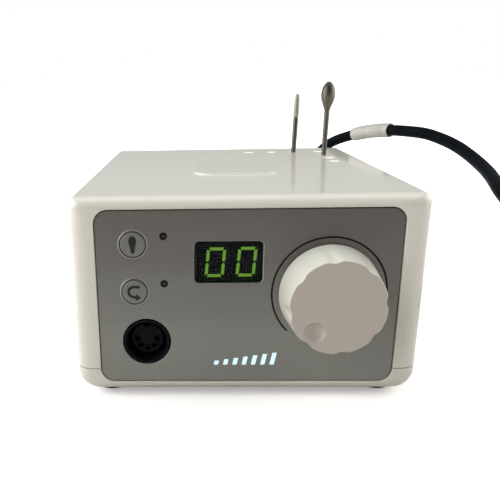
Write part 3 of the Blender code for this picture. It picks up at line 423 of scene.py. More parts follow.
def rrect(x0, x1, z0, z1, r_low, r_high=None, n=8):
    r_high = r_low if r_high is None else r_high
    out = []
    for cx, cz, r, start in (
        (x0 + r_low, z0 + r_low, r_low, 180), (x1 - r_low, z0 + r_low, r_low, 270),
        (x1 - r_high, z1 - r_high, r_high, 0), (x0 + r_high, z1 - r_high, r_high, 90),
    ):
        for i in range(n + 1):
            a = math.radians(start + 90.0 * i / n)
            out.append((cx + r * math.cos(a), cz + r * math.sin(a)))
    return out


def upright(outline, y):
    return [(x, y, z) for x, z in outline]


def lying(outline, z):
    return [(x, y, z) for x, y in outline]


def plate_rings(x0, x1, z0, z1, r, y_front, y_back, edge, n=8, k=4):
    """Rings of an upright plate whose front edge is rounded by `edge`."""
    rings = [upright(rrect(x0, x1, z0, z1, r, n=n), y_back)]
    for i in range(k + 1):
        a = math.radians(90.0 * i / k)
        d = edge * (1 - math.cos(a))
        rings.append(upright(rrect(x0 + d, x1 - d, z0 + d, z1 - d, max(r - d, 0.05), n=n), y_front + edge * (1 - math.sin(a))))
    return rings


def basis(origin, axis, up=(0, 0, 1)):
    """A 4x4 (mm) whose local +Z runs along axis."""
    z = Vector(axis).normalized()
    u = Vector(up)
    if abs(z.dot(u)) > 0.98:
        u = Vector((1, 0, 0))
    x = u.cross(z).normalized()
    y = z.cross(x)
    m = Matrix.Identity(4)
    for i in range(3):
        m[i][0], m[i][1], m[i][2], m[i][3] = x[i], y[i], z[i], origin[i]
    return m


def lathe(name, origin, axis, profile, material, steps=64, angle=35.0):
    """A turned solid: (radius, height) pairs, from the axis or as a closed loop."""
    m = basis(origin, axis)
    bm = bmesh.new()
    closed = profile[0][0] > 1e-6
    cols = []
    for r, h in profile:
        if r < 1e-6:
            cols.append([bm.verts.new((m @ Vector((0, 0, h))) * 0.001)])
        else:
            cols.append([
                bm.verts.new((m @ Vector((r * math.cos(2 * math.pi * i / steps), r * math.sin(2 * math.pi * i / steps), h))) * 0.001)
                for i in range(steps)
            ])
    pairs = list(zip(cols, cols[1:])) + ([(cols[-1], cols[0])] if closed else [])
    for a, b in pairs:
        for i in range(steps):
            j = (i + 1) % steps
            if len(a) == 1 and len(b) == 1:
                continue
            if len(a) == 1:
                bm.faces.new((a[0], b[j], b[i]))
            elif len(b) == 1:
                bm.faces.new((a[i], a[j], b[0]))
            else:
                bm.faces.new((a[i], a[j], b[j], b[i]))
    return finish_mesh(bm, name, material, angle)


def arc_pts(r0, h0, r1, h1, k=5, convex=True):
    """A quarter-round from (r0, h0) to (r1, h1); convex bulges outwards."""
    out = []
    for i in range(k + 1):
        a = math.radians(90.0 * i / k)
        if convex:
            out.append((r0 + (r1 - r0) * math.sin(a), h1 + (h0 - h1) * math.cos(a)))
        else:
            out.append((r1 + (r0 - r1) * math.cos(a), h0 + (h1 - h0) * math.sin(a)))
    return out


def apply_all(ob):
    """Modifiers applied, so the mesh is final."""
    bpy.context.view_layer.update()
    me = bpy.data.meshes.new_from_object(ob.evaluated_get(bpy.context.evaluated_depsgraph_get()))
    old = ob.data
    ob.modifiers.clear()
    ob.data = me
    me.name = old.name
    bpy.data.meshes.remove(old)
    return ob


def boolean(ob, others, operation="DIFFERENCE", angle=35.0):
    """An exact Boolean with each of the others, which are then removed."""
    for other in others:
        mod = ob.modifiers.new("b", "BOOLEAN")
        mod.operation = operation
        mod.object = other
        mod.solver = "EXACT"
    apply_all(ob)
    for other in others:
        bpy.data.objects.remove(other, do_unlink=True)
    ob.data.shade_smooth()
    ob.data.set_sharp_from_angle(angle=math.radians(angle))
    return ob


def weighted(ob):
    mod = ob.modifiers.new("flat_normals", "WEIGHTED_NORMAL")
    mod.keep_sharp = True
    mod.weight = 80
    return ob


def put(ob, body, *nodes, slot=None):
    """Rides on a body and stands for CAD nodes; its slot argument is not used."""
    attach(ob, body)
    if nodes:
        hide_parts(*nodes)
    return ob


def flared(origin, axis, r, depth, flare, lip=3.0, steps=48, k=4):
    """A cutter for a round hole whose mouth is rounded by `flare`; origin is on the face."""
    prof = [(0, lip), (r + flare, lip), (r + flare, 0.0)]
    for i in range(1, k + 1):
        a = math.radians(90.0 * i / k)
        prof.append((r + flare * (1 - math.sin(a)), -flare * (1 - math.cos(a))))
    prof += [(r, -depth), (0, -depth)]
    return lathe("cut", origin, axis, prof, None, steps)


def countersunk(origin, axis, r, depth, flare, lip=3.0, steps=56):
    """A cutter for a round hole with a straight countersink whose outer edge is eased."""
    prof = [(0, lip), (r + flare + 0.12, lip), (r + flare + 0.12, 0.0), (r + flare + 0.03, -0.02), (r + flare - 0.05, -0.08)]
    prof += [(r + 0.06, -flare + 0.02), (r, -flare - 0.1), (r, -depth), (0, -depth)]
    return lathe("cut", origin, axis, prof, None, steps)


H = "housing"
OUT = (0, -1, 0)

# -------------------------------------------------------------------- housing


def body_rings(n=10):
    """One closed skin: rear mouth, outside, front rim, front mouth, inside."""
    x, z0, z1 = HALF_W, FLOOR_Z, TOP_Z

    def rect(dx, dz0, dz1, rl, rh):
        return rrect(-x + dx, x - dx, z0 + dz0, z1 - dz1, rl, rh, n=n)

    def mouth(lo, hi, r, grow):
        return rrect(lo.x - grow, hi.x + grow, lo.z - grow, hi.z + grow, r + grow, n=n)

    rings = []
    # rear mouth, rounded outwards
    for a in (0, 45, 90):
        s, c = math.sin(math.radians(a)), math.cos(math.radians(a))
        rings.append(upright(mouth(rear_lo, rear_hi, 4.0, GAP + 0.35 * (1 - c)), BACK_Y - 0.35 * (1 - s)))
    # rear rim to the sides
    for i in range(7):
        a = math.radians(15.0 * i)
        s, c = math.sin(a), math.cos(a)
        d = BACK_R * (1 - s)
        rings.append(upright(rect(d, d, d, R_BOTTOM - d, max(R_TOP - d * 0.6, 1.2)), BACK_Y - BACK_R * (1 - c)))
    for t in (0.25, 0.5, 0.75):
        rings.append(upright(rect(0, 0, 0, R_BOTTOM, R_TOP), BACK_Y - BACK_R - t * (BACK_Y - FRONT_Y - BACK_R - RY)))
    # front rim, an elliptical roll
    k = 12
    for i in range(k + 1):
        a = math.radians(90.0 * (1 - i / k))
        s = 1 - math.sin(a)
        rings.append(
            upright(rect(RX * s, RZ * s, (RZ + 0.1) * s, R_BOTTOM - 2.4 * s, R_TOP + 0.6 * s), FRONT_Y + RY * (1 - math.cos(a)))
        )
    # front mouth, a small roll, then the seat and the ledge
    for a in (90, 60, 30, 0):
        s, c = math.sin(math.radians(a)), math.cos(math.radians(a))
        rings.append(upright(mouth(plate_lo, plate_hi, 4.6, GAP - 0.05 + 0.3 * (1 - c)), FRONT_Y + 0.3 * (1 - s)))
    rings.append(upright(mouth(plate_lo, plate_hi, 4.6, GAP - 0.05), PLATE_BACK + GAP))
    rings.append(upright(mouth(plate_lo, plate_hi, 4.6, -2.2), PLATE_BACK + GAP))
    rings.append(upright(mouth(plate_lo, plate_hi, 4.6, -2.2), FRONT_Y + 5.2))
    rings.append(upright(rect(WALL, WALL, WALL, R_BOTTOM - WALL, 0.8), FRONT_Y + 5.2))
    rings.append(upright(rect(WALL, WALL, WALL, R_BOTTOM - WALL, 0.8), BACK_Y - 4.6))
    rings.append(upright(mouth(rear_lo, rear_hi, 4.0, -2.2), BACK_Y - 4.6))
    rings.append(upright(mouth(rear_lo, rear_hi, 4.0, -2.2), rear_lo.y - GAP))
    rings.append(upright(mouth(rear_lo, rear_hi, 4.0, GAP), rear_lo.y - GAP))
    return rings


def cube(lo, hi, name="cut"):
    bm = bmesh.new()
    bmesh.ops.create_cube(bm, size=1.0)
    for v in bm.verts:
        v.co = Vector([(a + b) / 2 + c * (b - a) for a, b, c in zip(lo, hi, v.co)]) * 0.001
    return finish_mesh(bm, name, None)


def label_pad(x0, x1, y0, y1, r, n=16):
    """The blank raised pad: a fillet at its foot, then a full round over its edge. It is proudest at the front."""
    rings = [lying(rrect(x0 - 0.25, x1 + 0.25, y0 - 0.25, y1 + 0.25, r + 0.25, n=n), TOP_Z - 0.8)]
    for d, h in ((-0.25, 0.0), (-0.12, 0.03), (-0.03, 0.11), (0.0, 0.2), (0.02, 0.3), (0.1, 0.42), (0.24, 0.52), (0.42, 0.58), (0.62, 0.6)):
        rings.append([])
        for x, y, _ in lying(rrect(x0 + d, x1 - d, y0 + d, y1 - d, r - d, n=n), TOP_Z):
            t = min(max((y - y0 - 5) / 17, 0.0), 1.0)
            rings[-1].append((x, y, TOP_Z + h * (1 - 0.8 * t * t * (3 - 2 * t))))
    return ring_loft("pad", rings, None)


REST = [(9.7, 56.0), (20.8, 56.0), (32.0, 56.0), (44.4, 56.0), (44.6, 41.4), (44.6, 28.2), (44.6, 14.8)]

cover = ring_loft("upper_cover_shell", body_rings(), "housing", loop=True)
block_a = cube((REST[0][0] - 4, REST[0][1] - 4, TOP_Z - 15.5), (REST[3][0] + 4.6, REST[0][1] + 4, TOP_Z - 1))
block_b = cube((REST[6][0] - 4.3, REST[6][1] - 4, TOP_Z - 15.4), (REST[6][0] + 4.3, REST[0][1] + 2, TOP_Z - 1.1))
boolean(cover, [block_a, block_b, label_pad(-18, 16, -26.4, 21.6, 9.5)], "UNION")
cuts = [cube((-90, -110, -30), (90, 110, SEAM + GAP / 2))]
cuts += [countersunk((x, y, TOP_Z), (0, 0, 1), 1.7, 14.0, 0.92) for x, y in REST]
boolean(cover, cuts)
# painted highlight: the countersink faces round the rest holes take the near-white material
cover.data.materials.append(MAT["rest_rim"])
for p in cover.data.polygons:
    c = p.center * 1000
    if TOP_Z - 1.2 < c.z < TOP_Z + 0.01 and 0.05 < p.normal.z < 0.97:
        if any(math.hypot(c.x - x, c.y - y) < 2.8 for x, y in REST):
            p.material_index = 1
weighted(cover)
put(cover, H, "upper_cover", slot="housing")

tray = ring_loft("base_tray_shell", body_rings(), "housing", loop=True)
cuts = [cube((-90, -110, SEAM - GAP / 2), (90, 110, 200))]
pad = ring_loft("pad", [lying(rrect(-22, 22, -14, 14, 3), PAD_Z + 1.2), lying(rrect(-22, 22, -14, 14, 3), PAD_Z + 0.15),
                        lying(rrect(-21.85, 21.85, -13.85, 13.85, 2.85), PAD_Z)], None)
boolean(tray, [pad], "UNION")
for i in (1, 2, 3, 4):
    c = mid(f"rubber_foot_{i}")
    cuts.append(flared((c.x, c.y, FLOOR_Z), (0, 0, -1), 6.3, 0.8, 0.2, steps=64))
    c = mid(f"case_screw_{i}")
    cuts.append(flared((c.x, c.y, FLOOR_Z), (0, 0, -1), 3.5, 4.0, 0.3))
for x in (-42, -36, -30, 30, 36, 42):
    cuts.append(ring_loft("cut", [lying(rrect(x - 1.2 - g, x + 1.2 + g, -20 - g, 20 + g, 1.15 + g, n=6), z)
                                  for g, z in ((0.35, FLOOR_Z - 3), (0.35, FLOOR_Z), (0.1, FLOOR_Z + 0.1), (0, FLOOR_Z + 0.35), (0, FLOOR_Z + 5))], None))
boolean(tray, cuts)
weighted(tray)
put(tray, H, "base_tray", slot="housing")

# ---------------------------------------------------------------- front plate
plate = ring_loft(
    "front_plate", plate_rings(plate_lo.x, plate_hi.x, plate_lo.z, plate_hi.z, 4.6, FACE_Y, PLATE_BACK, 0.3, n=12), "front_plate"
)
foot_c, reverse_c = mid("foot_button"), mid("reverse_button")
lamp_a, lamp_b = mid("foot_status_lamp"), mid("reverse_status_lamp")
sock_c, knob_c = mid("handpiece_socket_shell"), mid("knob_shaft")
win_lo, win_hi = B("display_window")
guide_lo, guide_hi = B("mark_light_guide")
WX0, WX1, WZ0, WZ1 = win_lo.x - 0.33, win_hi.x + 0.40, win_lo.z - 0.36, win_hi.z - 0.08


def on_face(c, off=0.0):
    return (c.x, FACE_Y + off, c.z)


# low beads round the two buttons
for c in (foot_c, reverse_c):
    bead = lathe("bead", on_face(c, 0.6), OUT, [(4.3, 0), (4.3, 0.66), (4.40, 0.80), (4.52, 0.86), (4.66, 0.86), (4.80, 0.81), (4.93, 0.72), (5.02, 0.6), (5.02, 0)], None, 72)
    boolean(plate, [bead], "UNION")
MARK_BARS = 7


def bar(i, grow):
    pitch = (guide_hi.x - guide_lo.x - 2) / MARK_BARS
    x = guide_lo.x + 1 + pitch * (i + 0.5)
    z0 = guide_lo.z + 1
    z1 = guide_hi.z - 1
    top = z0 + (z1 - z0) * (0.34 + 0.66 * i / (MARK_BARS - 1))
    half, slant, m = 0.72 + grow, 0.22, (z0 + z1) / 2
    a, b = z0 - grow, top + grow
    return [(x - half + slant * (a - m), a), (x + half + slant * (a - m), a), (x + half + slant * (b - m), b), (x - half + slant * (b - m), b)]


cuts = [flared(on_face(c), OUT, 4.31, 8, 0.08, steps=72) for c in (foot_c, reverse_c)]
cuts += [flared(on_face(c), OUT, 1.27, 8, 0.12) for c in (lamp_a, lamp_b)]
cuts += [flared(on_face(sock_c), OUT, 8.35, 8, 0.22, steps=96), flared(on_face(knob_c), OUT, 4.9, 8, 0.1)]
wr = [upright(rrect(WX0 - 0.5, WX1 + 0.5, WZ0 - 0.5, WZ1 + 0.5, 2.0, n=8), FACE_Y - 3)]
for i in range(5):
    a = math.radians(90.0 * i / 4)
    g = 0.08 + 0.42 * (1 - math.sin(a))
    wr.append(upright(rrect(WX0 - g, WX1 + g, WZ0 - g, WZ1 + g, 1.5 + g, n=8), FACE_Y + 0.42 * (1 - math.cos(a))))
wr.append(upright(rrect(WX0 - 0.08, WX1 + 0.08, WZ0 - 0.08, WZ1 + 0.08, 1.58, n=8), PLATE_BACK + 3))
cuts.append(ring_loft("cut", wr, None))
for i in range(MARK_BARS):
    cuts.append(ring_loft("cut", [upright(bar(i, 0.06), FACE_Y - 3), upright(bar(i, 0.06), PLATE_BACK + 3)], None))
boolean(plate, cuts)
# painted highlight: the bead flanks round the buttons and the rims of the socket and window get the lighter grey
plate.data.materials.append(MAT["plate_edge"])
for p in plate.data.polygons:
    c, n = p.center * 1000, p.normal
    near_button = min(math.hypot(c.x - b.x, c.z - b.z) for b in (foot_c, reverse_c))
    near_socket = math.hypot(c.x - sock_c.x, c.z - sock_c.z)
    near_window = WX0 - 1.2 < c.x < WX1 + 1.2 and WZ0 - 1.2 < c.z < WZ1 + 1.2
    if near_button < 5.1 and near_button > 4.6 and c.y < FACE_Y + 0.1 and -n.y < 0.98:
        p.material_index = 1
    if (near_socket < 8.7 or near_window) and FACE_Y - 0.1 < c.y < FACE_Y + 0.5 and 0.05 < -n.y < 0.98:
        p.material_index = 1
weighted(plate)
put(plate, H, "front_panel", slot="front_plate")

# the light guide behind it, with its seven raised bars
guide = cube((guide_lo.x, PLATE_BACK + GAP, guide_lo.z), (guide_hi.x, guide_hi.y, guide_hi.z), "mark_bars")
guide.data.materials.append(MAT["light_guide"])
bars = [ring_loft("bar", [upright(bar(i, 0.0), FACE_Y + 0.08), upright(bar(i, 0.0), PLATE_BACK + 1)], "light_guide") for i in range(MARK_BARS)]
boolean(guide, bars, "UNION")
put(guide, H, "mark_light_guide", slot="light_guide")


def flat_shape(name, outline, y, thick, material):
    """A thin printed shape on the front, raised by its ink."""
    return ring_loft(name, [upright(outline, y), upright(outline, y - thick)], material)


# dial arc printed round the knob
arc = []
R_OUT, R_IN = 19.32, 18.70
for i in range(109):
    a = math.radians(225 - 270.0 * i / 108)
    arc.append((knob_c.x + R_OUT * math.cos(a), knob_c.z + R_OUT * math.sin(a)))
for i in range(109):
    a = math.radians(-45 + 270.0 * i / 108)
    arc.append((knob_c.x + R_IN * math.cos(a), knob_c.z + R_IN * math.sin(a)))
bm = bmesh.new()
half = len(arc) // 2
outer, inner = arc[:half], list(reversed(arc[half:]))
rows = []
for (ax, az), (bx, bz) in zip(outer, inner):
    rows.append([bm.verts.new(Vector(p) * 0.001) for p in (
        (ax, FACE_Y - 0.001, az), (ax, FACE_Y - 0.045, az), (bx, FACE_Y - 0.045, bz), (bx, FACE_Y - 0.001, bz))])
for r0, r1 in zip(rows, rows[1:]):
    for i in range(4):
        j = (i + 1) % 4
        bm.faces.new((r0[i], r0[j], r1[j], r1[i]))
bm.faces.new(rows[0])
bm.faces.new(list(reversed(rows[-1])))
put(finish_mesh(bm, "dial_arc_print", "ink_dark"), H, slot="front_plate")

# ------------------------------------------------------------ display and lamps
window = ring_loft(
    "display_filter", plate_rings(WX0, WX1, WZ0, WZ1, 1.5, win_lo.y, win_hi.y - 0.5, 0.15, n=8),
    "display_window",
)
put(window, H, "display_window", slot="display_window")
mod_lo, mod_hi = B("display_module")
module = ring_loft(
    "display_module_case",
    [upright(rrect(mod_lo.x, mod_hi.x, mod_lo.z, mod_hi.z, 0.3, n=3), mod_hi.y),
     upright(rrect(mod_lo.x, mod_hi.x, mod_lo.z, mod_hi.z, 0.3, n=3), mod_lo.y + 0.2),
     upright(rrect(mod_lo.x + 0.15, mod_hi.x - 0.15, mod_lo.z + 0.15, mod_hi.z - 0.15, 0.3, n=3), mod_lo.y)],
    "display_face",
)
put(module, H, "display_module", slot="display_module")

DIGIT_W, DIGIT_H, STROKE, SLANT = 6.35, 10.16, 0.98, 0.088
digit_z = (win_lo.z + win_hi.z) / 2 - 0.72
SEG_GAP = 0.24


def digit(cx, cz, lit, tag):
    """Seven bevelled segments, slanted; `lit` names those that glow."""
    w, h, t, g = DIGIT_W / 2, DIGIT_H / 2, STROKE, SEG_GAP
    c = t * 0.62  # corner cut

    def bar_h(z, inset_out):
        # top and bottom: outer side long, inner side short
        s = 1 if z > 0 else -1
        o, i = z, z - s * t
        return [(-w + g + 0.55, o), (w - g - 0.55, o), (w - t - g * 0.2, i), (-w + t + g * 0.2, i)]

    def bar_v(x, z0, z1):
        s = 1 if x > 0 else -1
        o, i = x, x - s * t
        up = z1 > 0.5
        if up:  # from the middle to the top
            return [(o, z1 - g - 0.5), (i, z1 - t - g * 0.6), (i, z0 + g + 0.45), (x - s * t * 0.45, z0 + g * 0.9), (o, z0 + g + 0.42)]
        return [(o, z0 + g + 0.5), (i, z0 + t + g * 0.6), (i, z1 - g - 0.45), (x - s * t * 0.45, z1 - g * 0.9), (o, z1 - g - 0.42)]

    segs = {
        "a": bar_h(h, 0), "d": bar_h(-h, 0),
        "f": bar_v(-w, 0, h), "b": bar_v(w, 0, h), "e": bar_v(-w, -h, 0), "c": bar_v(w, -h, 0),
        "g": [(-w + t * 0.7 + g, 0), (-w + t + g, t / 2), (w - t - g, t / 2), (w - t * 0.7 - g, 0), (w - t - g, -t / 2), (-w + t + g, -t / 2)],
    }
    for key, pts in segs.items():
        area = sum(a[0] * b[1] - b[0] * a[1] for a, b in zip(pts, pts[1:] + pts[:1]))
        if area < 0:
            pts = list(reversed(pts))
        pts = [(cx + x + SLANT * z, cz + z) for x, z in pts]
        ob = flat_shape(f"digit_{tag}_segment_{key}", pts, mod_lo.y - 0.005, 0.06, "segment" if key in lit else "segment_off")
        put(ob, H, slot="display_module")


digit(win_lo.x + 6.6, digit_z, "abcdef", "left")
digit(win_lo.x + 16.95, digit_z + 0.1, "abcdef", "right")

for tag, node in (("foot", "foot_status_lamp"), ("reverse", "reverse_status_lamp")):
    c, (lo, hi) = mid(node), B(node)
    depth = hi.y - FACE_Y
    prof = [(0, depth - 0.32), (0.4, depth - 0.35), (0.8, depth - 0.46), (1.05, depth - 0.66), (1.15, depth - 0.9), (1.15, 5.0), (1.9, 4.9), (1.9, 0), (0, 0)]
    put(lathe(f"{tag}_lamp_lens", (c.x, hi.y, c.z), OUT, prof, "lamp", 40), H, node, slot="lamp")

# -------------------------------------------------------------------- buttons
SOLE_HALF = [(2.95, 0.0), (2.88, 0.42), (2.66, 0.80), (2.3, 1.06), (1.8, 1.25), (1.2, 1.32), (0.6, 1.24), (0.0, 1.06), (-0.6, 0.88), (-1.2, 0.77),
             (-1.7, 0.75), (-2.15, 0.74), (-2.5, 0.64), (-2.78, 0.44), (-2.92, 0.2), (-2.96, 0.0)]
SOLE = [(-w, z) for z, w in SOLE_HALF] + [(w, z) for z, w in reversed(SOLE_HALF[1:-1])]

# hooked arrow: a stroke round the left, then a head
mid_line = [(1.75, 1.62), (0.9, 1.80), (-0.3, 1.80), (-1.25, 1.55), (-1.86, 0.85), (-2.02, 0.0), (-1.80, -0.8), (-1.2, -1.42), (-0.3, -1.78), (0.35, -1.86)]


def smooth_line(points, k=6):
    pts = [Vector(p) for p in points]
    pts = [pts[0] * 2 - pts[1]] + pts + [pts[-1] * 2 - pts[-2]]
    out = []
    for p0, p1, p2, p3 in zip(pts, pts[1:], pts[2:], pts[3:]):
        for i in range(k):
            t = i / k
            out.append(0.5 * (2 * p1 + (p2 - p0) * t + (2 * p0 - 5 * p1 + 4 * p2 - p3) * t * t + (3 * p1 - p0 - 3 * p2 + p3) * t ** 3))
    out.append(pts[-2])
    return out


line = smooth_line(mid_line)
left_side, right_side = [], []
for i, p in enumerate(line):
    d = (line[min(i + 1, len(line) - 1)] - line[max(i - 1, 0)]).normalized()
    nrm = Vector((-d.y, d.x))
    left_side.append(p + nrm * 0.46)
    right_side.append(p - nrm * 0.46)
end, d = line[-1], (line[-1] - line[-4]).normalized()
nrm = Vector((-d.y, d.x))
ARROW = [tuple(p) for p in left_side] + [tuple(end + nrm * 1.3), tuple(end + d * 1.75), tuple(end - nrm * 1.3)] + [tuple(p) for p in reversed(right_side)]

for tag, node, plunger, icon in (
    ("foot", "foot_button", "foot_switch_plunger", SOLE), ("reverse", "reverse_button", "reverse_switch_plunger", ARROW)
):
    c, (lo, hi) = mid(node), B(node)
    h = hi.y - lo.y
    flange = hi.y - (PLATE_BACK + GAP + 1.0)
    prof = [(0, h), (2.6, h), (3.6, h - 0.02)]
    prof += arc_pts(3.80, h - 0.03, 4.15, h - 0.36, 5)
    prof += [(4.15, flange + 1.0), (5.4, flange + 1.0), (5.4, flange), (1.6, flange), (1.6, 0), (0, 0)]
    cap = lathe(f"{tag}_button_cap", (c.x, hi.y, c.z), OUT, prof, "button", 72)
    put(cap, f"{tag}_button_set", node, slot="button")
    shape = flat_shape(f"{tag}_button_icon", [(c.x + x, c.z + z) for x, z in icon], lo.y - 0.002, 0.03, "ink")
    put(shape, f"{tag}_button_set", slot="button")

# --------------------------------------------------------- handpiece socket
lo, hi = B("handpiece_socket_shell")
depth = hi.y - FACE_Y
prof = [(8.12, depth - 0.35), *[(8.12 - r, depth - 0.35 + hh) for r, hh in ((0.04, 0.12), (0.14, 0.22), (0.27, 0.26))], (7.35, depth - 0.09)]
prof += [(7.2, depth - 0.14), (7.02, depth - 0.5), (6.75, depth - 0.9), (6.75, 0), (8.05, 0), (8.05, 6.2), (10.6, 6.2), (10.6, 8.0), (8.12, 8.0)]
put(lathe("socket_ring", (sock_c.x, hi.y, sock_c.z), OUT, list(reversed(prof)), "socket", 96), H, "handpiece_socket_shell", slot="black_plastic")
lo, hi = B("handpiece_socket_insert")
h = hi.y - lo.y
core = lathe(
    "socket_core", (sock_c.x, hi.y, sock_c.z), OUT,
    [(0, h), (5.2, h), *arc_pts(5.25, h, 5.7, h - 0.4, 4), (5.7, 1.6), (6.4, 1.6), (6.4, 0), (0, 0)], "socket", 80,
)
cuts = [cube((sock_c.x - 1.15, lo.y - 2, sock_c.z + 4.35), (sock_c.x + 1.15, hi.y - 2.2, sock_c.z + 9))]
for i in range(5):
    a = math.radians(180 + 45 * i)
    x, z = sock_c.x + 3.5 * math.cos(a), sock_c.z + 3.5 * math.sin(a)
    cuts.append(flared((x, lo.y, z), OUT, 0.92, 12, 0.35, steps=32))
boolean(core, cuts)
weighted(core)
put(core, H, "handpiece_socket_insert", slot="black_plastic")
# the pins take the dark painted-shade metal
for i in range(1, 6):
    node = f"socket_contact_{i}"
    c, (lo, hi) = mid(node), B(node)
    h = hi.y - lo.y
    prof = [(0.62, h - 1.0), (0.62, 0), (0, 0), (0, 3.0), (0.34, 3.0), (0.34, h - 1.1), (0.42, h - 0.85), (0.55, h - 0.85)]
    put(lathe(f"socket_pin_{i}", (c.x, hi.y, c.z), OUT, prof, "contact_dark", 24), H, node, slot="brass")

# ----------------------------------------------------------------- the knob
lo, hi = B("speed_knob")
KX, KZ, KY, KH = knob_c.x, knob_c.z, hi.y, hi.y - lo.y
R_BASE, R_FACE = 16.8, 15.4
N_ANG = 240
EDGE = 0.4
FLUTES = 8
FLUTE_AT = 7.0
da = math.radians(229.0)
DX, DZ, DR = 10.7 * math.cos(da), 10.7 * math.sin(da), 3.3


def soft_flute(theta, height):
    """How far a flute bites at this angle and height: deepest at the face, gone near the base."""
    t = (math.degrees(theta) - FLUTE_AT) / (360.0 / FLUTES)
    off = (t - round(t)) * (360.0 / FLUTES)  # degrees from the nearest flute
    fade = max(0.0, min(1.0, (height - 2.0) / (KH - 2.0)))
    u = off / (6.0 + 5.0 * fade)
    return 0.70 * fade ** 1.2 * (0.5 + 0.5 * math.cos(math.pi * u)) if abs(u) < 1 else 0.0


outer_prof = []  # (radius, height) from the base up to the face edge
for r, h in [(R_BASE - 0.35, 0.0), (R_BASE - 0.12, 0.08), (R_BASE, 0.35)]:
    outer_prof.append((r, h))
for i in range(1, 13):
    t = i / 12
    outer_prof.append((R_BASE + (R_FACE - R_BASE) * t, 0.35 + (KH - 0.35 - EDGE) * t))
for i in range(1, 6):
    a = math.radians(90.0 * i / 5)
    outer_prof.append((R_FACE - EDGE * (1 - math.cos(a)), KH - EDGE * (1 - math.sin(a))))
bm = bmesh.new()


def kvert(x, h, z):
    return bm.verts.new(Vector((KX + x, KY - h, KZ + z)) * 0.001)


columns = []
for r, h in outer_prof:
    row = []
    for i in range(N_ANG):
        a = 2 * math.pi * i / N_ANG
        rr = r - soft_flute(a, h)
        row.append(kvert(rr * math.cos(a), h, rr * math.sin(a)))
    columns.append(row)
edge_r = outer_prof[-1][0]
for k in (0.985, 0.8, 0.5, 0.2):
    row = []
    for i in range(N_ANG):
        a = 2 * math.pi * i / N_ANG
        rr = (edge_r - soft_flute(a, KH) * (1 if k > 0.9 else 0)) * k
        row.append(kvert(rr * math.cos(a), KH, rr * math.sin(a)))
    columns.append(row)
centre = kvert(0, KH, 0)
# underside: skirt, hollow and shaft bore
under = []
for r, h in ((8.6, 0.0), (8.6, 3.9), (3.3, 3.9), (3.3, 11.0)):
    under.append([kvert(r * math.cos(2 * math.pi * i / N_ANG), h, r * math.sin(2 * math.pi * i / N_ANG)) for i in range(N_ANG)])
bore_end = kvert(0, 11.0, 0)
allrows = list(reversed(under)) + columns
for a, b in zip(allrows, allrows[1:]):
    for i in range(N_ANG):
        j = (i + 1) % N_ANG
        bm.faces.new((a[i], a[j], b[j], b[i]))
for i in range(N_ANG):
    j = (i + 1) % N_ANG
    bm.faces.new((columns[-1][i], columns[-1][j], centre))
    bm.faces.new((under[-1][j], under[-1][i], bore_end))
knob = finish_mesh(bm, "speed_knob_cap", "knob", 50)
# the thumb dimple: a shallow ball with an eased lip
lip = [(0, 2.0), (DR + 0.42, 2.0), (DR + 0.42, 0.0), (DR + 0.26, -0.02), (DR + 0.12, -0.08), (DR, -0.19)]
for i in range(1, 13):
    a = math.radians(58.0 * (1 - i / 12))
    lip.append((DR * math.sin(a) / math.sin(math.radians(58.0)), -0.19 - DR * (math.cos(a) - math.cos(math.radians(58.0))) / math.sin(math.radians(58.0)) * 0.62))
lip[-1] = (0, lip[-1][1])
boolean(knob, [lathe("cut", (KX + DX, KY - KH, KZ + DZ), OUT, lip, None, 72)], angle=50)
weighted(knob)
put(knob, "speed_knob_set", "speed_knob", slot="knob")

# ------------------------------------------------------------------- the bits


def bit_basis(node):
    """Origin at the bit's lower end, local +Z up its leaning axis, from the CAD mesh itself."""
    co = np.array([v.co for v in NODES[node].data.vertices]) * 1000
    lo = co[co[:, 2] < co[:, 2].min() + 0.6].mean(0)
    hi = co[co[:, 2] > co[:, 2].max() - 0.02].mean(0)
    axis = Vector(hi - lo)
    return Vector(lo), axis, axis.length


def build_bit(name, node, body, profile, material, steps=48):
    origin, axis, _ = bit_basis(node)
    low = min(v.co.z for v in NODES[node].data.vertices) * 1000
    ob = lathe(name, (origin.x, origin.y, low), axis, profile, material, steps)
    put(ob, body, node, slot="bit_steel")
    return ob


lo, hi = B("bit_needle")
SH = 1.175
L1 = (hi.z - lo.z) / math.cos(math.radians(1.8)) - 0.01
head1 = L1 - 11.1
needle = [(0, L1), (0.24, L1 - 0.05), (0.46, L1 - 0.18), (0.66, L1 - 0.42), (0.82, L1 - 0.8), (0.95, L1 - 1.35), (1.06, L1 - 2.2), (1.15, L1 - 3.4),
          (1.22, L1 - 5.0), (1.26, L1 - 7.0), (1.27, L1 - 9.2), (1.24, L1 - 10.4), (1.16, L1 - 10.9), (1.02, head1)]
shank = [(SH, head1 - 0.4), (SH, head1 - 8), (SH, 6), (SH, 0.45), (SH - 0.12, 0.15), (SH - 0.4, 0.0), (0, 0)]
needle_ob = build_bit("needle_bit_body", "bit_needle", "needle_bit", needle + shank, "bit_steel")
needle_ob.data.materials.append(MAT["bit_grit"])
o1, a1, _ = bit_basis("bit_needle")
for p in needle_ob.data.polygons:
    if (p.center * 1000 - o1).dot(a1.normalized()) > head1 - 0.1:
        p.material_index = 1

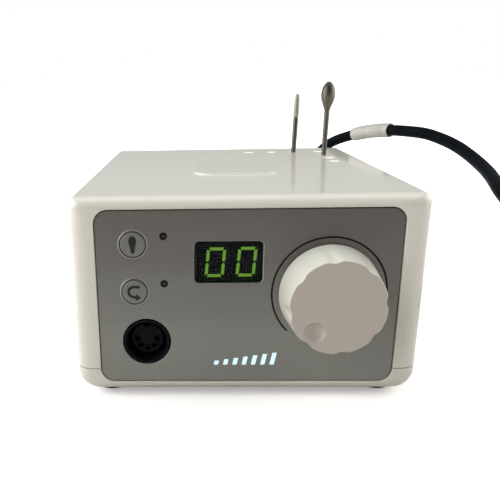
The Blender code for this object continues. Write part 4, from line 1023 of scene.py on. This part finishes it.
lo, hi = B("bit_olive")
L2 = (hi.z - lo.z) / math.cos(math.radians(1.0)) - 0.01
HEAD = 12.8
EGG = [(0.0, 0.0), (0.015, 0.24), (0.04, 0.385), (0.08, 0.535), (0.14, 0.705), (0.21, 0.84), (0.29, 0.93), (0.37, 0.982), (0.45, 1.0), (0.53, 0.985),
       (0.61, 0.93), (0.69, 0.84), (0.77, 0.72), (0.85, 0.59), (0.91, 0.49), (0.96, 0.42), (1.0, 0.376)]
olive = []
egg = [Vector((a, b)) for a, b in EGG]
egg = [Vector((-0.015, -0.24))] + egg + [Vector((1.04, 0.376))]
for p0, p1, p2, p3 in zip(egg, egg[1:], egg[2:], egg[3:]):
    for i in range(4):
        t = i / 4
        q = 0.5 * (2 * p1 + (p2 - p0) * t + (2 * p0 - 5 * p1 + 4 * p2 - p3) * t * t + (3 * p1 - p0 - 3 * p2 + p3) * t ** 3)
        olive.append((max(q.y * 3.13, 0.0), L2 - HEAD * max(q.x, 0.0)))
olive[0] = (0, L2)
shank = [(SH, L2 - HEAD), (SH, L2 - HEAD - 6), (SH, 6), (SH, 0.45), (SH - 0.12, 0.15), (SH - 0.4, 0.0), (0, 0)]
build_bit("olive_bit_body", "bit_olive", "olive_bit", olive + shank, "bit_steel", 64)

# ------------------------------------------------------------------- the cord
EXIT = mid("strain_relief")
CZ = EXIT.z
CX = EXIT.x
ORIGIN = -TABLE_Z  # the table lies this far below the origin
WAY = [
    (CX, 58, CZ + ORIGIN), (CX, 76, CZ + ORIGIN), (CX, 95, CZ + ORIGIN), (33.5, 104, 30), (37.5, 109, 38), (43.5, 106.5, 51),
    (49.5, 100.5, 62), (56.5, 90.5, 71.7), (66, 78.5, 77), (73, 67.5, 79.6), (80, 56.5, 80.8),
    (89, 40.5, 80.7), (92.8, 33.5, 79.8), (97.5, 22, 77.3), (100.2, 10, 74.2), (100.9, -7, 70.3),
    (98.9, -22, 67.9), (95.8, -38, 65.2), (96.4, -54, 59.5), (102, -67, 50), (111, -76, 38.5),
    (121.5, -80.5, 25.5), (131, -78, 14.8), (136.6, -69, 8.8), (138, -58, 7.4), (138, -46, 7.4),
]
WAY = [Vector((x, y, z - ORIGIN)) for x, y, z in WAY]


def catmull(points, step):
    pts = [points[0] * 2 - points[1]] + list(points) + [points[-1] * 2 - points[-2]]
    out = []
    for p0, p1, p2, p3 in zip(pts, pts[1:], pts[2:], pts[3:]):
        n = max(1, round((p2 - p1).length / step))
        for i in range(n):
            t = i / n
            out.append(0.5 * (2 * p1 + (p2 - p0) * t + (2 * p0 - 5 * p1 + 4 * p2 - p3) * t * t + (3 * p1 - p0 - 3 * p2 + p3) * t ** 3))
    out.append(pts[-2])
    return out


def relax(points, rounds=6, keep=14):
    """Evens out the bends of a fine line; its straight ends stay put."""
    pts = [p.copy() for p in points]
    for _ in range(rounds):
        new = [p.copy() for p in pts]
        for i in range(keep, len(pts) - keep):
            new[i] = pts[i] * 0.5 + (pts[i - 1] + pts[i + 1]) * 0.25
        pts = new
    return pts


def sweep(name, points, radius, material, sides=28, caps=True, radii=None):
    """A round tube along a line, its sections carried without twist."""
    bm = bmesh.new()
    rings = []
    up = None
    for i, p in enumerate(points):
        d = (points[min(i + 1, len(points) - 1)] - points[max(i - 1, 0)]).normalized()
        if up is None:
            up = Vector((0, 0, 1)) if abs(d.z) < 0.9 else Vector((1, 0, 0))
        side = d.cross(up).normalized()
        up = side.cross(d).normalized()
        r = radii[i] if radii else radius
        rings.append([bm.verts.new((p + side * r * math.cos(2 * math.pi * k / sides) + up * r * math.sin(2 * math.pi * k / sides)) * 0.001) for k in range(sides)])
    for a, b in zip(rings, rings[1:]):
        for k in range(sides):
            j = (k + 1) % sides
            bm.faces.new((a[k], a[j], b[j], b[k]))
    if caps:
        bm.faces.new(rings[0])
        bm.faces.new(list(reversed(rings[-1])))
    return finish_mesh(bm, name, material, 50)


line = relax(catmull(WAY, 1.6), 8)
put(sweep("mains_cord_jacket", line, 2.6, "cord"), H, "mains_cord", slot="cord")

# sleeve: its own tube round the cord, its ends rolled in
s0 = min(range(len(line)), key=lambda i: (line[i] - Vector((68.4, 78.0, 77.8 - ORIGIN))).length)
run, s1 = 0.0, s0
while run < 22.9:
    run += (line[s1 + 1] - line[s1]).length
    s1 += 1
cover_line = line[s0 : s1 + 1]
bm = bmesh.new()
rings, up = [], None
ends = [(0, 3.0), (0, 3.2), (0, 3.34)]
plan = [(0, 2.98), (0, 3.22), (0.25, 3.38)] + [(i, 3.4) for i in range(1, len(cover_line) - 1)] + [(len(cover_line) - 1.25, 3.38), (len(cover_line) - 1, 3.22), (len(cover_line) - 1, 2.98)] + [(i, 2.98) for i in range(len(cover_line) - 2, 0, -1)]
dirs = []
for i in range(len(cover_line)):
    dirs.append((cover_line[min(i + 1, len(cover_line) - 1)] - cover_line[max(i - 1, 0)]).normalized())
frames = []
for d in dirs:
    if up is None:
        up = Vector((0, 0, 1))
    side = d.cross(up).normalized()
    up = side.cross(d).normalized()
    frames.append((side.copy(), up.copy()))
for pos, r in plan:
    i = int(min(max(pos, 0), len(cover_line) - 1))
    f = pos - i
    p = cover_line[i].lerp(cover_line[min(i + 1, len(cover_line) - 1)], f)
    side, u2 = frames[i]
    rings.append([bm.verts.new((p + side * r * math.cos(2 * math.pi * k / 36) + u2 * r * math.sin(2 * math.pi * k / 36)) * 0.001) for k in range(36)])
for a, b in list(zip(rings, rings[1:])) + [(rings[-1], rings[0])]:
    for k in range(36):
        j = (k + 1) % 36
        bm.faces.new((a[k], a[j], b[j], b[k]))
put(finish_mesh(bm, "cord_sleeve_tube", "sleeve", 50), H, "cord_sleeve", slot="sleeve")

# strain relief with its flex rings
lo, hi = B("strain_relief")
prof = [(2.95, 24), (3.7, 24), (3.9, 23.8)]
for i in range(5):
    h = 22.6 - 2.5 * i
    t = i / 4
    r = 3.95 + 0.6 * t
    prof += [(r, h), (r - 0.55, h - 0.15), (r - 0.5, h - 0.75), (r + 0.1, h - 0.95)]
prof += [(4.7, 9.6), (5.4, 8.9), (7.0, 8.25), (7.35, 8.0), (7.4, 7.7), (7.4, 6.5), (7.3, 6.35), (5.3, 6.3), (5.3, 0), (2.95, 0)]
put(lathe("strain_relief_boot", (CX, lo.y, CZ), (0, 1, 0), prof, "black_plastic", 56), H, "strain_relief", slot="black_plastic")

# plug: a rounded two-pin body with grip ribs
lo, hi = B("plug_body")
px, pz = (lo.x + hi.x) / 2, (lo.z + hi.z) / 2
half_h = (hi.z - lo.z) / 2
secs = []
stations = [(0.0, 3.9, 3.6), (0.25, 4.6, 4.3), (1.0, 5.0, 4.6), (3, 5.6, 5.2), (6, 6.6, 5.9), (10, 8.0, 6.3), (14, 9.5, 6.6), (19, 11.2, 6.72), (24, 12.4, 6.8), (29, 12.9, 6.8), (33, 13.0, 6.8), (34.3, 12.8, 6.6), (34.85, 12.4, 6.2), (35.0, 11.8, 5.6)]
for y, hw, hh in stations:
    secs.append([(x, lo.y + y, z) for x, z in rrect(px - hw, px + hw, pz - hh, pz + hh, min(hh, hw) * 0.86, n=8)])
plug = ring_loft("plug_shell", secs, "cord", angle=40)
cuts = [flared((px, lo.y, pz), (0, -1, 0), 2.9, 7, 0.2)]
for s in (-1, 1):
    cuts.append(flared((px + s * 9.0, hi.y, pz), (0, 1, 0), 2.15, 6, 0.15))
    for k in range(5):
        y = lo.y + 13.5 + 2.6 * k
        w = 9.6 + 0.72 * k
        cuts.append(cube((px + s * w - 1.2, y, pz - 4.2), (px + s * w + 3.5, y + 1.1, pz + 4.2)))
boolean(plug, cuts)
weighted(plug)
put(plug, H, "plug_body", slot="cord")
for side in ("left", "right"):
    node = f"plug_pin_{side}"
    c, (lo, hi) = mid(node), B(node)
    h = hi.y - lo.y
    prof = [(0, h), (1.0, h - 0.03), (1.6, h - 0.3), (1.92, h - 0.8), (2.0, h - 1.4), (2.0, 0), (0, 0)]
    ob = lathe(f"plug_prong_{side}", (c.x, lo.y, c.z), (0, 1, 0), prof, "brass", 36)
    ob.data.materials.append(MAT["black_plastic"])
    for p in ob.data.polygons:
        if p.center.y * 1000 < lo.y + h - 9.5:
            p.material_index = 1
    put(ob, H, node, slot="brass")

# ----------------------------------------------------------------------- rear
rear = ring_loft(
    "rear_plate",
    [upright(rrect(rear_lo.x, rear_hi.x, rear_lo.z, rear_hi.z, 4.0, n=10), rear_lo.y)]
    + [upright(rrect(rear_lo.x + d, rear_hi.x - d, rear_lo.z + d, rear_hi.z - d, 4.0 - d, n=10), rear_hi.y - 0.3 + hh)
       for d, hh in ((0, 0), (0.04, 0.12), (0.12, 0.22), (0.3, 0.3))],
    "housing",
)
rock_lo, rock_hi = B("power_switch_body")
rk = (rock_lo + rock_hi) / 2
BACK = (0, 1, 0)
fuse_c, jack_c = mid("fuse_holder"), mid("pedal_jack_body")


def on_back(c):
    return (c.x, rear_hi.y, c.z)


cuts = [cube((rk.x - 10, rear_lo.y - 3, rk.z - 7), (rk.x + 10, rear_hi.y + 3, rk.z + 7))]
cuts += [flared(on_back(fuse_c), BACK, 6.4, 6, 0.15), flared(on_back(jack_c), BACK, 3.3, 6, 0.15), flared((CX, rear_hi.y, CZ), BACK, 5.6, 6, 0.15)]
for i in range(9):
    x = -24 + 6 * i
    cuts.append(ring_loft("cut", [upright(rrect(x - 1.1 - g, x + 1.1 + g, 50 - ORIGIN - g, 59 - ORIGIN + g, 1.05 + g, n=6), y)
                                  for g, y in ((0.3, rear_hi.y + 3), (0.3, rear_hi.y), (0.08, rear_hi.y - 0.1), (0, rear_hi.y - 0.3), (0, rear_lo.y - 3))], None))
boolean(rear, cuts)
weighted(rear)
put(rear, H, "rear_panel", slot="housing")

# rocker switch
switch = cube((rk.x - 9.6, rock_lo.y, rk.z - 6.6), (rk.x + 9.6, rear_hi.y + 1, rk.z + 6.6), "power_switch_case")
switch.data.materials.append(MAT["black_plastic"])
bez = ring_loft("bez", [upright(rrect(rk.x - 10.8 + d, rk.x + 10.8 - d, rk.z - 7.8 + d, rk.z + 7.8 - d, 1.2 - d * 0.5, n=6), y)
                        for d, y in ((0, rear_hi.y + 0.3), (0, rear_hi.y + 1.3), (0.15, rear_hi.y + 1.75), (0.5, rear_hi.y + 2.0))], "black_plastic")
boolean(switch, [bez], "UNION")
pocket = ring_loft("pk", [upright(rrect(rk.x - 8.4 - g, rk.x + 8.4 + g, rk.z - 5.7 - g, rk.z + 5.7 + g, 0.4 + g, n=4), y)
                          for g, y in ((0.4, rear_hi.y + 4), (0.4, rear_hi.y + 2.0), (0.1, rear_hi.y + 1.85), (0, rear_hi.y + 1.5), (0, rear_hi.y - 7.5))], None)
boolean(switch, [pocket])
weighted(switch)
put(switch, H, "power_switch_body", slot="black_plastic")

joint = {j["name"]: j for j in frame["joints"]}
pivot = Vector(joint["power_rocker_tilt"]["pos_m"]) * 1000
tilt = math.radians(12.0)
side_view = [(-3.2, -2.4), (-3.2, 2.4), (1.2, 4.8)]
side_view += [(3.6, 4.72), (4.0, 4.66), (4.22, 4.5), (4.3, 4.22)]
for i in range(1, 12):
    t = i / 12
    z = 4.22 - 8.44 * t
    side_view.append((3.05 + 1.25 * (abs(z) / 4.22) ** 1.7, z))
side_view += [(4.3, -4.22), (4.22, -4.5), (4.0, -4.66), (3.6, -4.72), (1.2, -4.8)]


def rock_ring(x, shrink):
    out = []
    for y, z in side_view:
        y2, z2 = y - shrink * (y > 0), z * (1 - shrink * 0.04)
        out.append((pivot.x + x, pivot.y + y2 * math.cos(tilt) - z2 * math.sin(tilt), pivot.z + y2 * math.sin(tilt) + z2 * math.cos(tilt)))
    return out


rocker = ring_loft("power_rocker_cap", [rock_ring(-8.1, 0.5), rock_ring(-8.05, 0.2), rock_ring(-7.8, 0.02), rock_ring(-7.5, 0), rock_ring(7.5, 0), rock_ring(7.8, 0.02), rock_ring(8.05, 0.2), rock_ring(8.1, 0.5)], "black_plastic", angle=40)
put(rocker, "power_rocker_set", "power_rocker", slot="black_plastic")


def rock_mark(name, pts):
    """A thin moulded mark on the rocker's face; pts are (x, z) on the face."""
    front, back = [], []
    for x, z in pts:
        y = 3.05 + 1.25 * (abs(z) / 4.22) ** 1.7
        for lst, off in ((front, 0.03), (back, -0.02)):
            yy = y + off
            lst.append((pivot.x + x, pivot.y + yy * math.cos(tilt) - z * math.sin(tilt), pivot.z + yy * math.sin(tilt) + z * math.cos(tilt)))
    return ring_loft(name, [back, front], "sleeve")


put(rock_mark("rocker_on_mark", [(-0.2, 1.6), (0.2, 1.6), (0.2, 3.4), (-0.2, 3.4)]), "power_rocker_set", slot="black_plastic")
ring_o = []
for sgn, rr in ((1, 1.0),):
    ring_o = [(rr * math.cos(2 * math.pi * i / 32), -2.5 + rr * math.sin(2 * math.pi * i / 32)) for i in range(32)]
inner_o = [(0.68 * math.cos(2 * math.pi * i / 32), -2.5 + 0.68 * math.sin(2 * math.pi * i / 32)) for i in range(32)]


def rock_point(x, z, off):
    y = 3.05 + 1.25 * (abs(z) / 4.22) ** 1.7 + off
    return (pivot.x + x, pivot.y + y * math.cos(tilt) - z * math.sin(tilt), pivot.z + y * math.sin(tilt) + z * math.cos(tilt))


off_mark = ring_loft("rocker_off_mark", [[rock_point(x, z, o) for x, z in pts] for pts, o in ((ring_o, -0.02), (ring_o, 0.03), (inner_o, 0.03), (inner_o, -0.02))], "sleeve", loop=True)
put(off_mark, "power_rocker_set", slot="black_plastic")

# fuse holder, carrier with a screwdriver slot, and the fuse
lo, hi = B("fuse_holder")
prof = [(8.0, 32.0), (8.0, 30.5), (7.9, 30.3), (6.1, 30.3), (6.1, 0), (0, 0), (0, 1.5), (4.4, 1.5), (4.4, 30.9), (6.6, 31.0), (6.6, 32.0), (6.75, 32.2), (7.7, 32.2), (7.92, 32.12)]
put(lathe("fuse_holder_body", (fuse_c.x, lo.y, fuse_c.z), BACK, prof, "black_plastic", 56), H, "fuse_holder", slot="black_plastic")
lo, hi = B("fuse_carrier")
prof = [(0, 10.2), (5.0, 10.2), *arc_pts(5.1, 10.2, 5.7, 9.7, 4), (6.15, 7.2), (6.2, 6.9), (6.2, 5.4), (4.0, 5.3), (4.0, 0), (2.9, 0), (2.9, 3.4), (0, 3.4)]
carrier = lathe("fuse_carrier_cap", (fuse_c.x, lo.y, fuse_c.z), BACK, prof, "black_plastic", 56)
cuts = [cube((fuse_c.x - 3.6, hi.y - 1.2, fuse_c.z - 0.6), (fuse_c.x + 3.6, hi.y + 2, fuse_c.z + 0.6))]
for i in range(18):
    a = 2 * math.pi * i / 18
    cuts.append(lathe("cut", (fuse_c.x + 6.35 * math.cos(a), lo.y + 6.6, fuse_c.z + 6.35 * math.sin(a)), BACK, [(0, 6), (0.42, 6), (0.42, 0), (0, 0)], None, 10))
boolean(carrier, cuts)
weighted(carrier)
put(carrier, "fuse_carrier_set", "fuse_carrier", slot="black_plastic")
lo, hi = B("fuse_link")
h = hi.y - lo.y
prof = [(0, h), (2.3, h), (2.6, h - 0.25), (2.6, h - 5.4), (2.42, h - 5.5), (2.42, 5.5), (2.6, 5.4), (2.6, 0.25), (2.3, 0), (0, 0)]
fuse = lathe("glass_fuse", (fuse_c.x, lo.y, fuse_c.z), BACK, prof, "steel", 36)
fuse.data.materials.append(MAT["fuse_glass"])
for p in fuse.data.polygons:
    if lo.y + 5.5 < p.center.y * 1000 < hi.y - 5.5:
        p.material_index = 1
put(fuse, "fuse_carrier_set", "fuse_link", slot="fuse_glass")

# pedal socket
lo, hi = B("pedal_jack_body")
prof = [(1.8, 17.1), (2.0, 17.35), (2.8, 17.4), (3.0, 17.2), (3.0, 12.6), (4.5, 12.6), (4.5, 0), (0, 0), (0, 3.0), (1.8, 3.0)]
put(lathe("pedal_socket", (jack_c.x, lo.y, jack_c.z), BACK, list(reversed(prof)) if False else prof, "black_plastic", 48), H, "pedal_jack_body", slot="black_plastic")
lo, hi = B("pedal_jack_nut")
nut = lathe("pedal_socket_nut", (jack_c.x, lo.y, jack_c.z), BACK, [(4.7, 1.5), (4.95, 1.35), (5.0, 1.1), (5.0, 0), (3.25, 0), (3.25, 1.3), (3.4, 1.5)], "steel", 48)
cuts = []
for i in range(24):
    a = 2 * math.pi * i / 24
    cuts.append(lathe("cut", (jack_c.x + 5.15 * math.cos(a), lo.y - 1, jack_c.z + 5.15 * math.sin(a)), BACK, [(0, 4), (0.36, 4), (0.36, 0), (0, 0)], None, 8))
boolean(nut, cuts)
weighted(nut)
put(nut, H, "pedal_jack_nut", slot="steel")

# ------------------------------------------------------------ feet and screws
for i in (1, 2, 3, 4):
    c, (lo, hi) = mid(f"rubber_foot_{i}"), B(f"rubber_foot_{i}")
    prof = [(0, 3.0), (5.9, 3.0), (6.0, 2.9), (6.0, 2.3), (5.92, 1.8), (5.75, 1.3), (5.45, 0.8), (5.05, 0.4), (4.55, 0.12), (4.1, 0.0), (2.4, 0.0), (2.1, 0.1), (1.9, 0.25), (0, 0.3)]
    put(lathe(f"foot_pad_{i}", (c.x, c.y, lo.z), (0, 0, 1), prof, "rubber", 64), H, f"rubber_foot_{i}", slot="rubber")
    c, (lo, hi) = mid(f"case_screw_{i}"), B(f"case_screw_{i}")
    prof = [(0, 19), (0.8, 19), (1.45, 18), (1.45, 2.7), (3.2, 2.7), (3.2, 1.1), (2.9, 0.6), (2.2, 0.2), (1.2, 0.02), (0, 0)]
    screw = lathe(f"screw_{i}", (c.x, c.y, lo.z), (0, 0, 1), prof, "steel", 40)
    boolean(screw, [cube((c.x - 1.9, c.y - 0.4, lo.z - 1), (c.x + 1.9, c.y + 0.4, lo.z + 1.3)), cube((c.x - 0.4, c.y - 1.9, lo.z - 1), (c.x + 0.4, c.y + 1.9, lo.z + 1.25))])
    weighted(screw)
    put(screw, H, f"case_screw_{i}", slot="steel")

# ------------------------------------------- carried-over nodes get materials
SLOT_OF = {s["node"]: s["material_slot"] for s in frame["record"]["subparts"]}
for name, ob in NODES.items():
    if ob.hide_render:
        continue
    wanted = MAT.get(SLOT_OF[name]) or MAT["black_plastic"]
    ob.data.materials.clear()
    ob.data.materials.append(wanted)

# --------------------------------------------------------- floor, light, camera
bm = bmesh.new()
bmesh.ops.create_grid(bm, x_segments=1, y_segments=1, size=40.0)
for v in bm.verts:
    v.co.z = TABLE_Z * 0.001
floor = finish_mesh(bm, "floor", None)
fm, nt, s = new_material("floor_paper")
link(nt, mix_colour(nt, noise(nt, 6), (0.90, 0.90, 0.895), (0.93, 0.93, 0.925)), s.inputs["Base Color"])
s.inputs["Roughness"].default_value = 0.9
s.inputs["Specular IOR Level"].default_value = 0.1
floor.data.materials.append(fm)

world = bpy.data.worlds.new("studio")
SCENE.world = world
world.use_nodes = True
nt = world.node_tree
bg = nt.nodes["Background"]
tc = nt.nodes.new("ShaderNodeTexCoord")
sep = nt.nodes.new("ShaderNodeSeparateXYZ")
link(nt, tc.outputs["Generated"], sep.inputs["Vector"])


def calc(nt, op, a, b):
    m = nt.nodes.new("ShaderNodeMath")
    m.operation = op
    for socket, value in zip(m.inputs, (a, b)):
        if isinstance(value, (int, float)):
            socket.default_value = value
        else:
            link(nt, value, socket)
    return m.outputs[0]


def side_term(axis, sign, gain):
    return calc(nt, "MULTIPLY", calc(nt, "MAXIMUM", calc(nt, "MULTIPLY", sep.outputs[axis], sign), 0.0), gain)


# the room: brighter to the left and behind, dim on the viewer's side
level = 0.045
for term in (side_term("Y", 1.0, 0.37), side_term("X", -1.0, 0.05)):
    level = calc(nt, "ADD", term, level)
level = calc(nt, "MAXIMUM", level, 0.02)
tone = mix_colour(nt, spread(nt, sep.outputs["Y"], 0.0, 1.0, -0.7, 0.1), (1.0, 0.90, 0.84), (0.98, 1.0, 0.98))
paths = nt.nodes.new("ShaderNodeLightPath")
seen = calc(nt, "ADD", calc(nt, "MULTIPLY", paths.outputs["Is Camera Ray"], 1.0), 0.0)
link(nt, mix_colour(nt, seen, tone, (1.0, 1.0, 1.0)), bg.inputs["Color"])
strength = nt.nodes.new("ShaderNodeMix")
link(nt, seen, strength.inputs["Factor"])
link(nt, level, strength.inputs["A"])
strength.inputs["B"].default_value = 1.0
link(nt, strength.outputs["Result"], bg.inputs["Strength"])

# the floor is pale, and gives back less light sideways than it shows
nt = fm.node_tree
paths = nt.nodes.new("ShaderNodeLightPath")
shown = nt.nodes["Principled BSDF"].inputs["Base Color"].links[0].from_socket
fs = nt.nodes["Principled BSDF"]
far = nt.nodes.new("ShaderNodeNewGeometry")
dist = nt.nodes.new("ShaderNodeVectorMath")
dist.operation = "LENGTH"
link(nt, far.outputs["Position"], dist.inputs[0])
lift = spread(nt, dist.outputs["Value"], 0.32, 1.0, 0.14, 0.75)
link(nt, calc(nt, "MULTIPLY", lift, paths.outputs["Is Camera Ray"]), fs.inputs["Emission Strength"])
fs.inputs["Emission Color"].default_value = (1.0, 1.0, 1.0, 1)
link(nt, mix_colour(nt, paths.outputs["Is Diffuse Ray"], shown, (0.48, 0.432, 0.398)), nt.nodes["Principled BSDF"].inputs["Base Color"])


def area(name, at, target, size, power, colour, size_y=None):
    light = bpy.data.lights.new(name, "AREA")
    light.shape = "RECTANGLE"
    light.size, light.size_y = size, size_y or size
    light.energy, light.color = power, colour
    ob = bpy.data.objects.new(name, light)
    ob.location = at
    ob.rotation_euler = (Vector(target) - Vector(at)).to_track_quat("-Z", "Y").to_euler()
    SCENE.collection.objects.link(ob)
    return ob


area("overhead", (0.0, 0.10, 0.95), (0.0, 0.0, 0.05), 0.95, 2.0, (0.98, 1.0, 0.97), 0.60)
area("left_side", (-0.86, -0.20, 0.50), (0.0, 0.0, 0.05), 1.6, 17.5, (1.0, 0.985, 0.955), 1.0).visible_glossy = False
# the side panels light the object, and two smaller ones are what its glossy and metal parts mirror
area("left_sheen", (-0.86, -0.13, 0.37), (0.0, 0.0, 0.05), 1.0, 7.7, (1.0, 0.985, 0.955), 0.7).visible_diffuse = False
area("right_sheen", (0.85, 0.07, 0.37), (0.0, 0.0, 0.05), 1.0, 6.0, (1.0, 0.975, 0.935), 0.7).visible_diffuse = False
area("left_rear", (-0.78, 0.35, 0.33), (0.0, 0.0, 0.05), 0.6, 1.2, (1.0, 0.985, 0.955), 0.6).visible_glossy = False
area("right_side", (0.85, 0.06, 0.50), (0.0, 0.0, 0.05), 1.6, 14.0, (1.0, 0.975, 0.935), 1.0).visible_glossy = False

cam_data = bpy.data.cameras.new("camera")
cam = bpy.data.objects.new("camera", cam_data)
SCENE.collection.objects.link(cam)
SCENE.camera = cam
cam_data.sensor_width = 36.0
FOCAL_PX, PX, PY = 659.94, 170.32, 313.87
cam_data.lens = FOCAL_PX / 500 * 36.0
right = Vector((0.9992, 0.0365, -0.0182)).normalized()
down = Vector((-0.0049, -0.3343, -0.9424))
down = (down - right * down.dot(right)).normalized()
ahead = right.cross(down)
EYE = Vector((-16.76, -287.19, 106.27 - ORIGIN)) * 0.001
m = Matrix.Identity(4)
for i in range(3):
    m[i][0], m[i][1], m[i][2], m[i][3] = right[i], -down[i], -ahead[i], EYE[i]
cam.matrix_world = m
cam_data.clip_start, cam_data.clip_end = 0.01, 20
# the picture's centre lies off the lens axis; the shift holds only while the camera stands at its own place
for prop, amount in (("shift_x", (250 - PX) / 500), ("shift_y", (PY - 250) / 500)):
    driver = cam_data.driver_add(prop).driver
    driver.type = "SCRIPTED"
    var = driver.variables.new()
    var.name = "place"
    var.type = "TRANSFORMS"
    var.targets[0].id = cam
    var.targets[0].transform_type = "LOC_Y"
    var.targets[0].transform_space = "WORLD_SPACE"
    driver.expression = f"{amount:.6f} if abs(place - {EYE.y:.6f}) < 0.0005 else 0.0"

SCENE.view_settings.view_transform = "Standard"
SCENE.view_settings.look = "None"
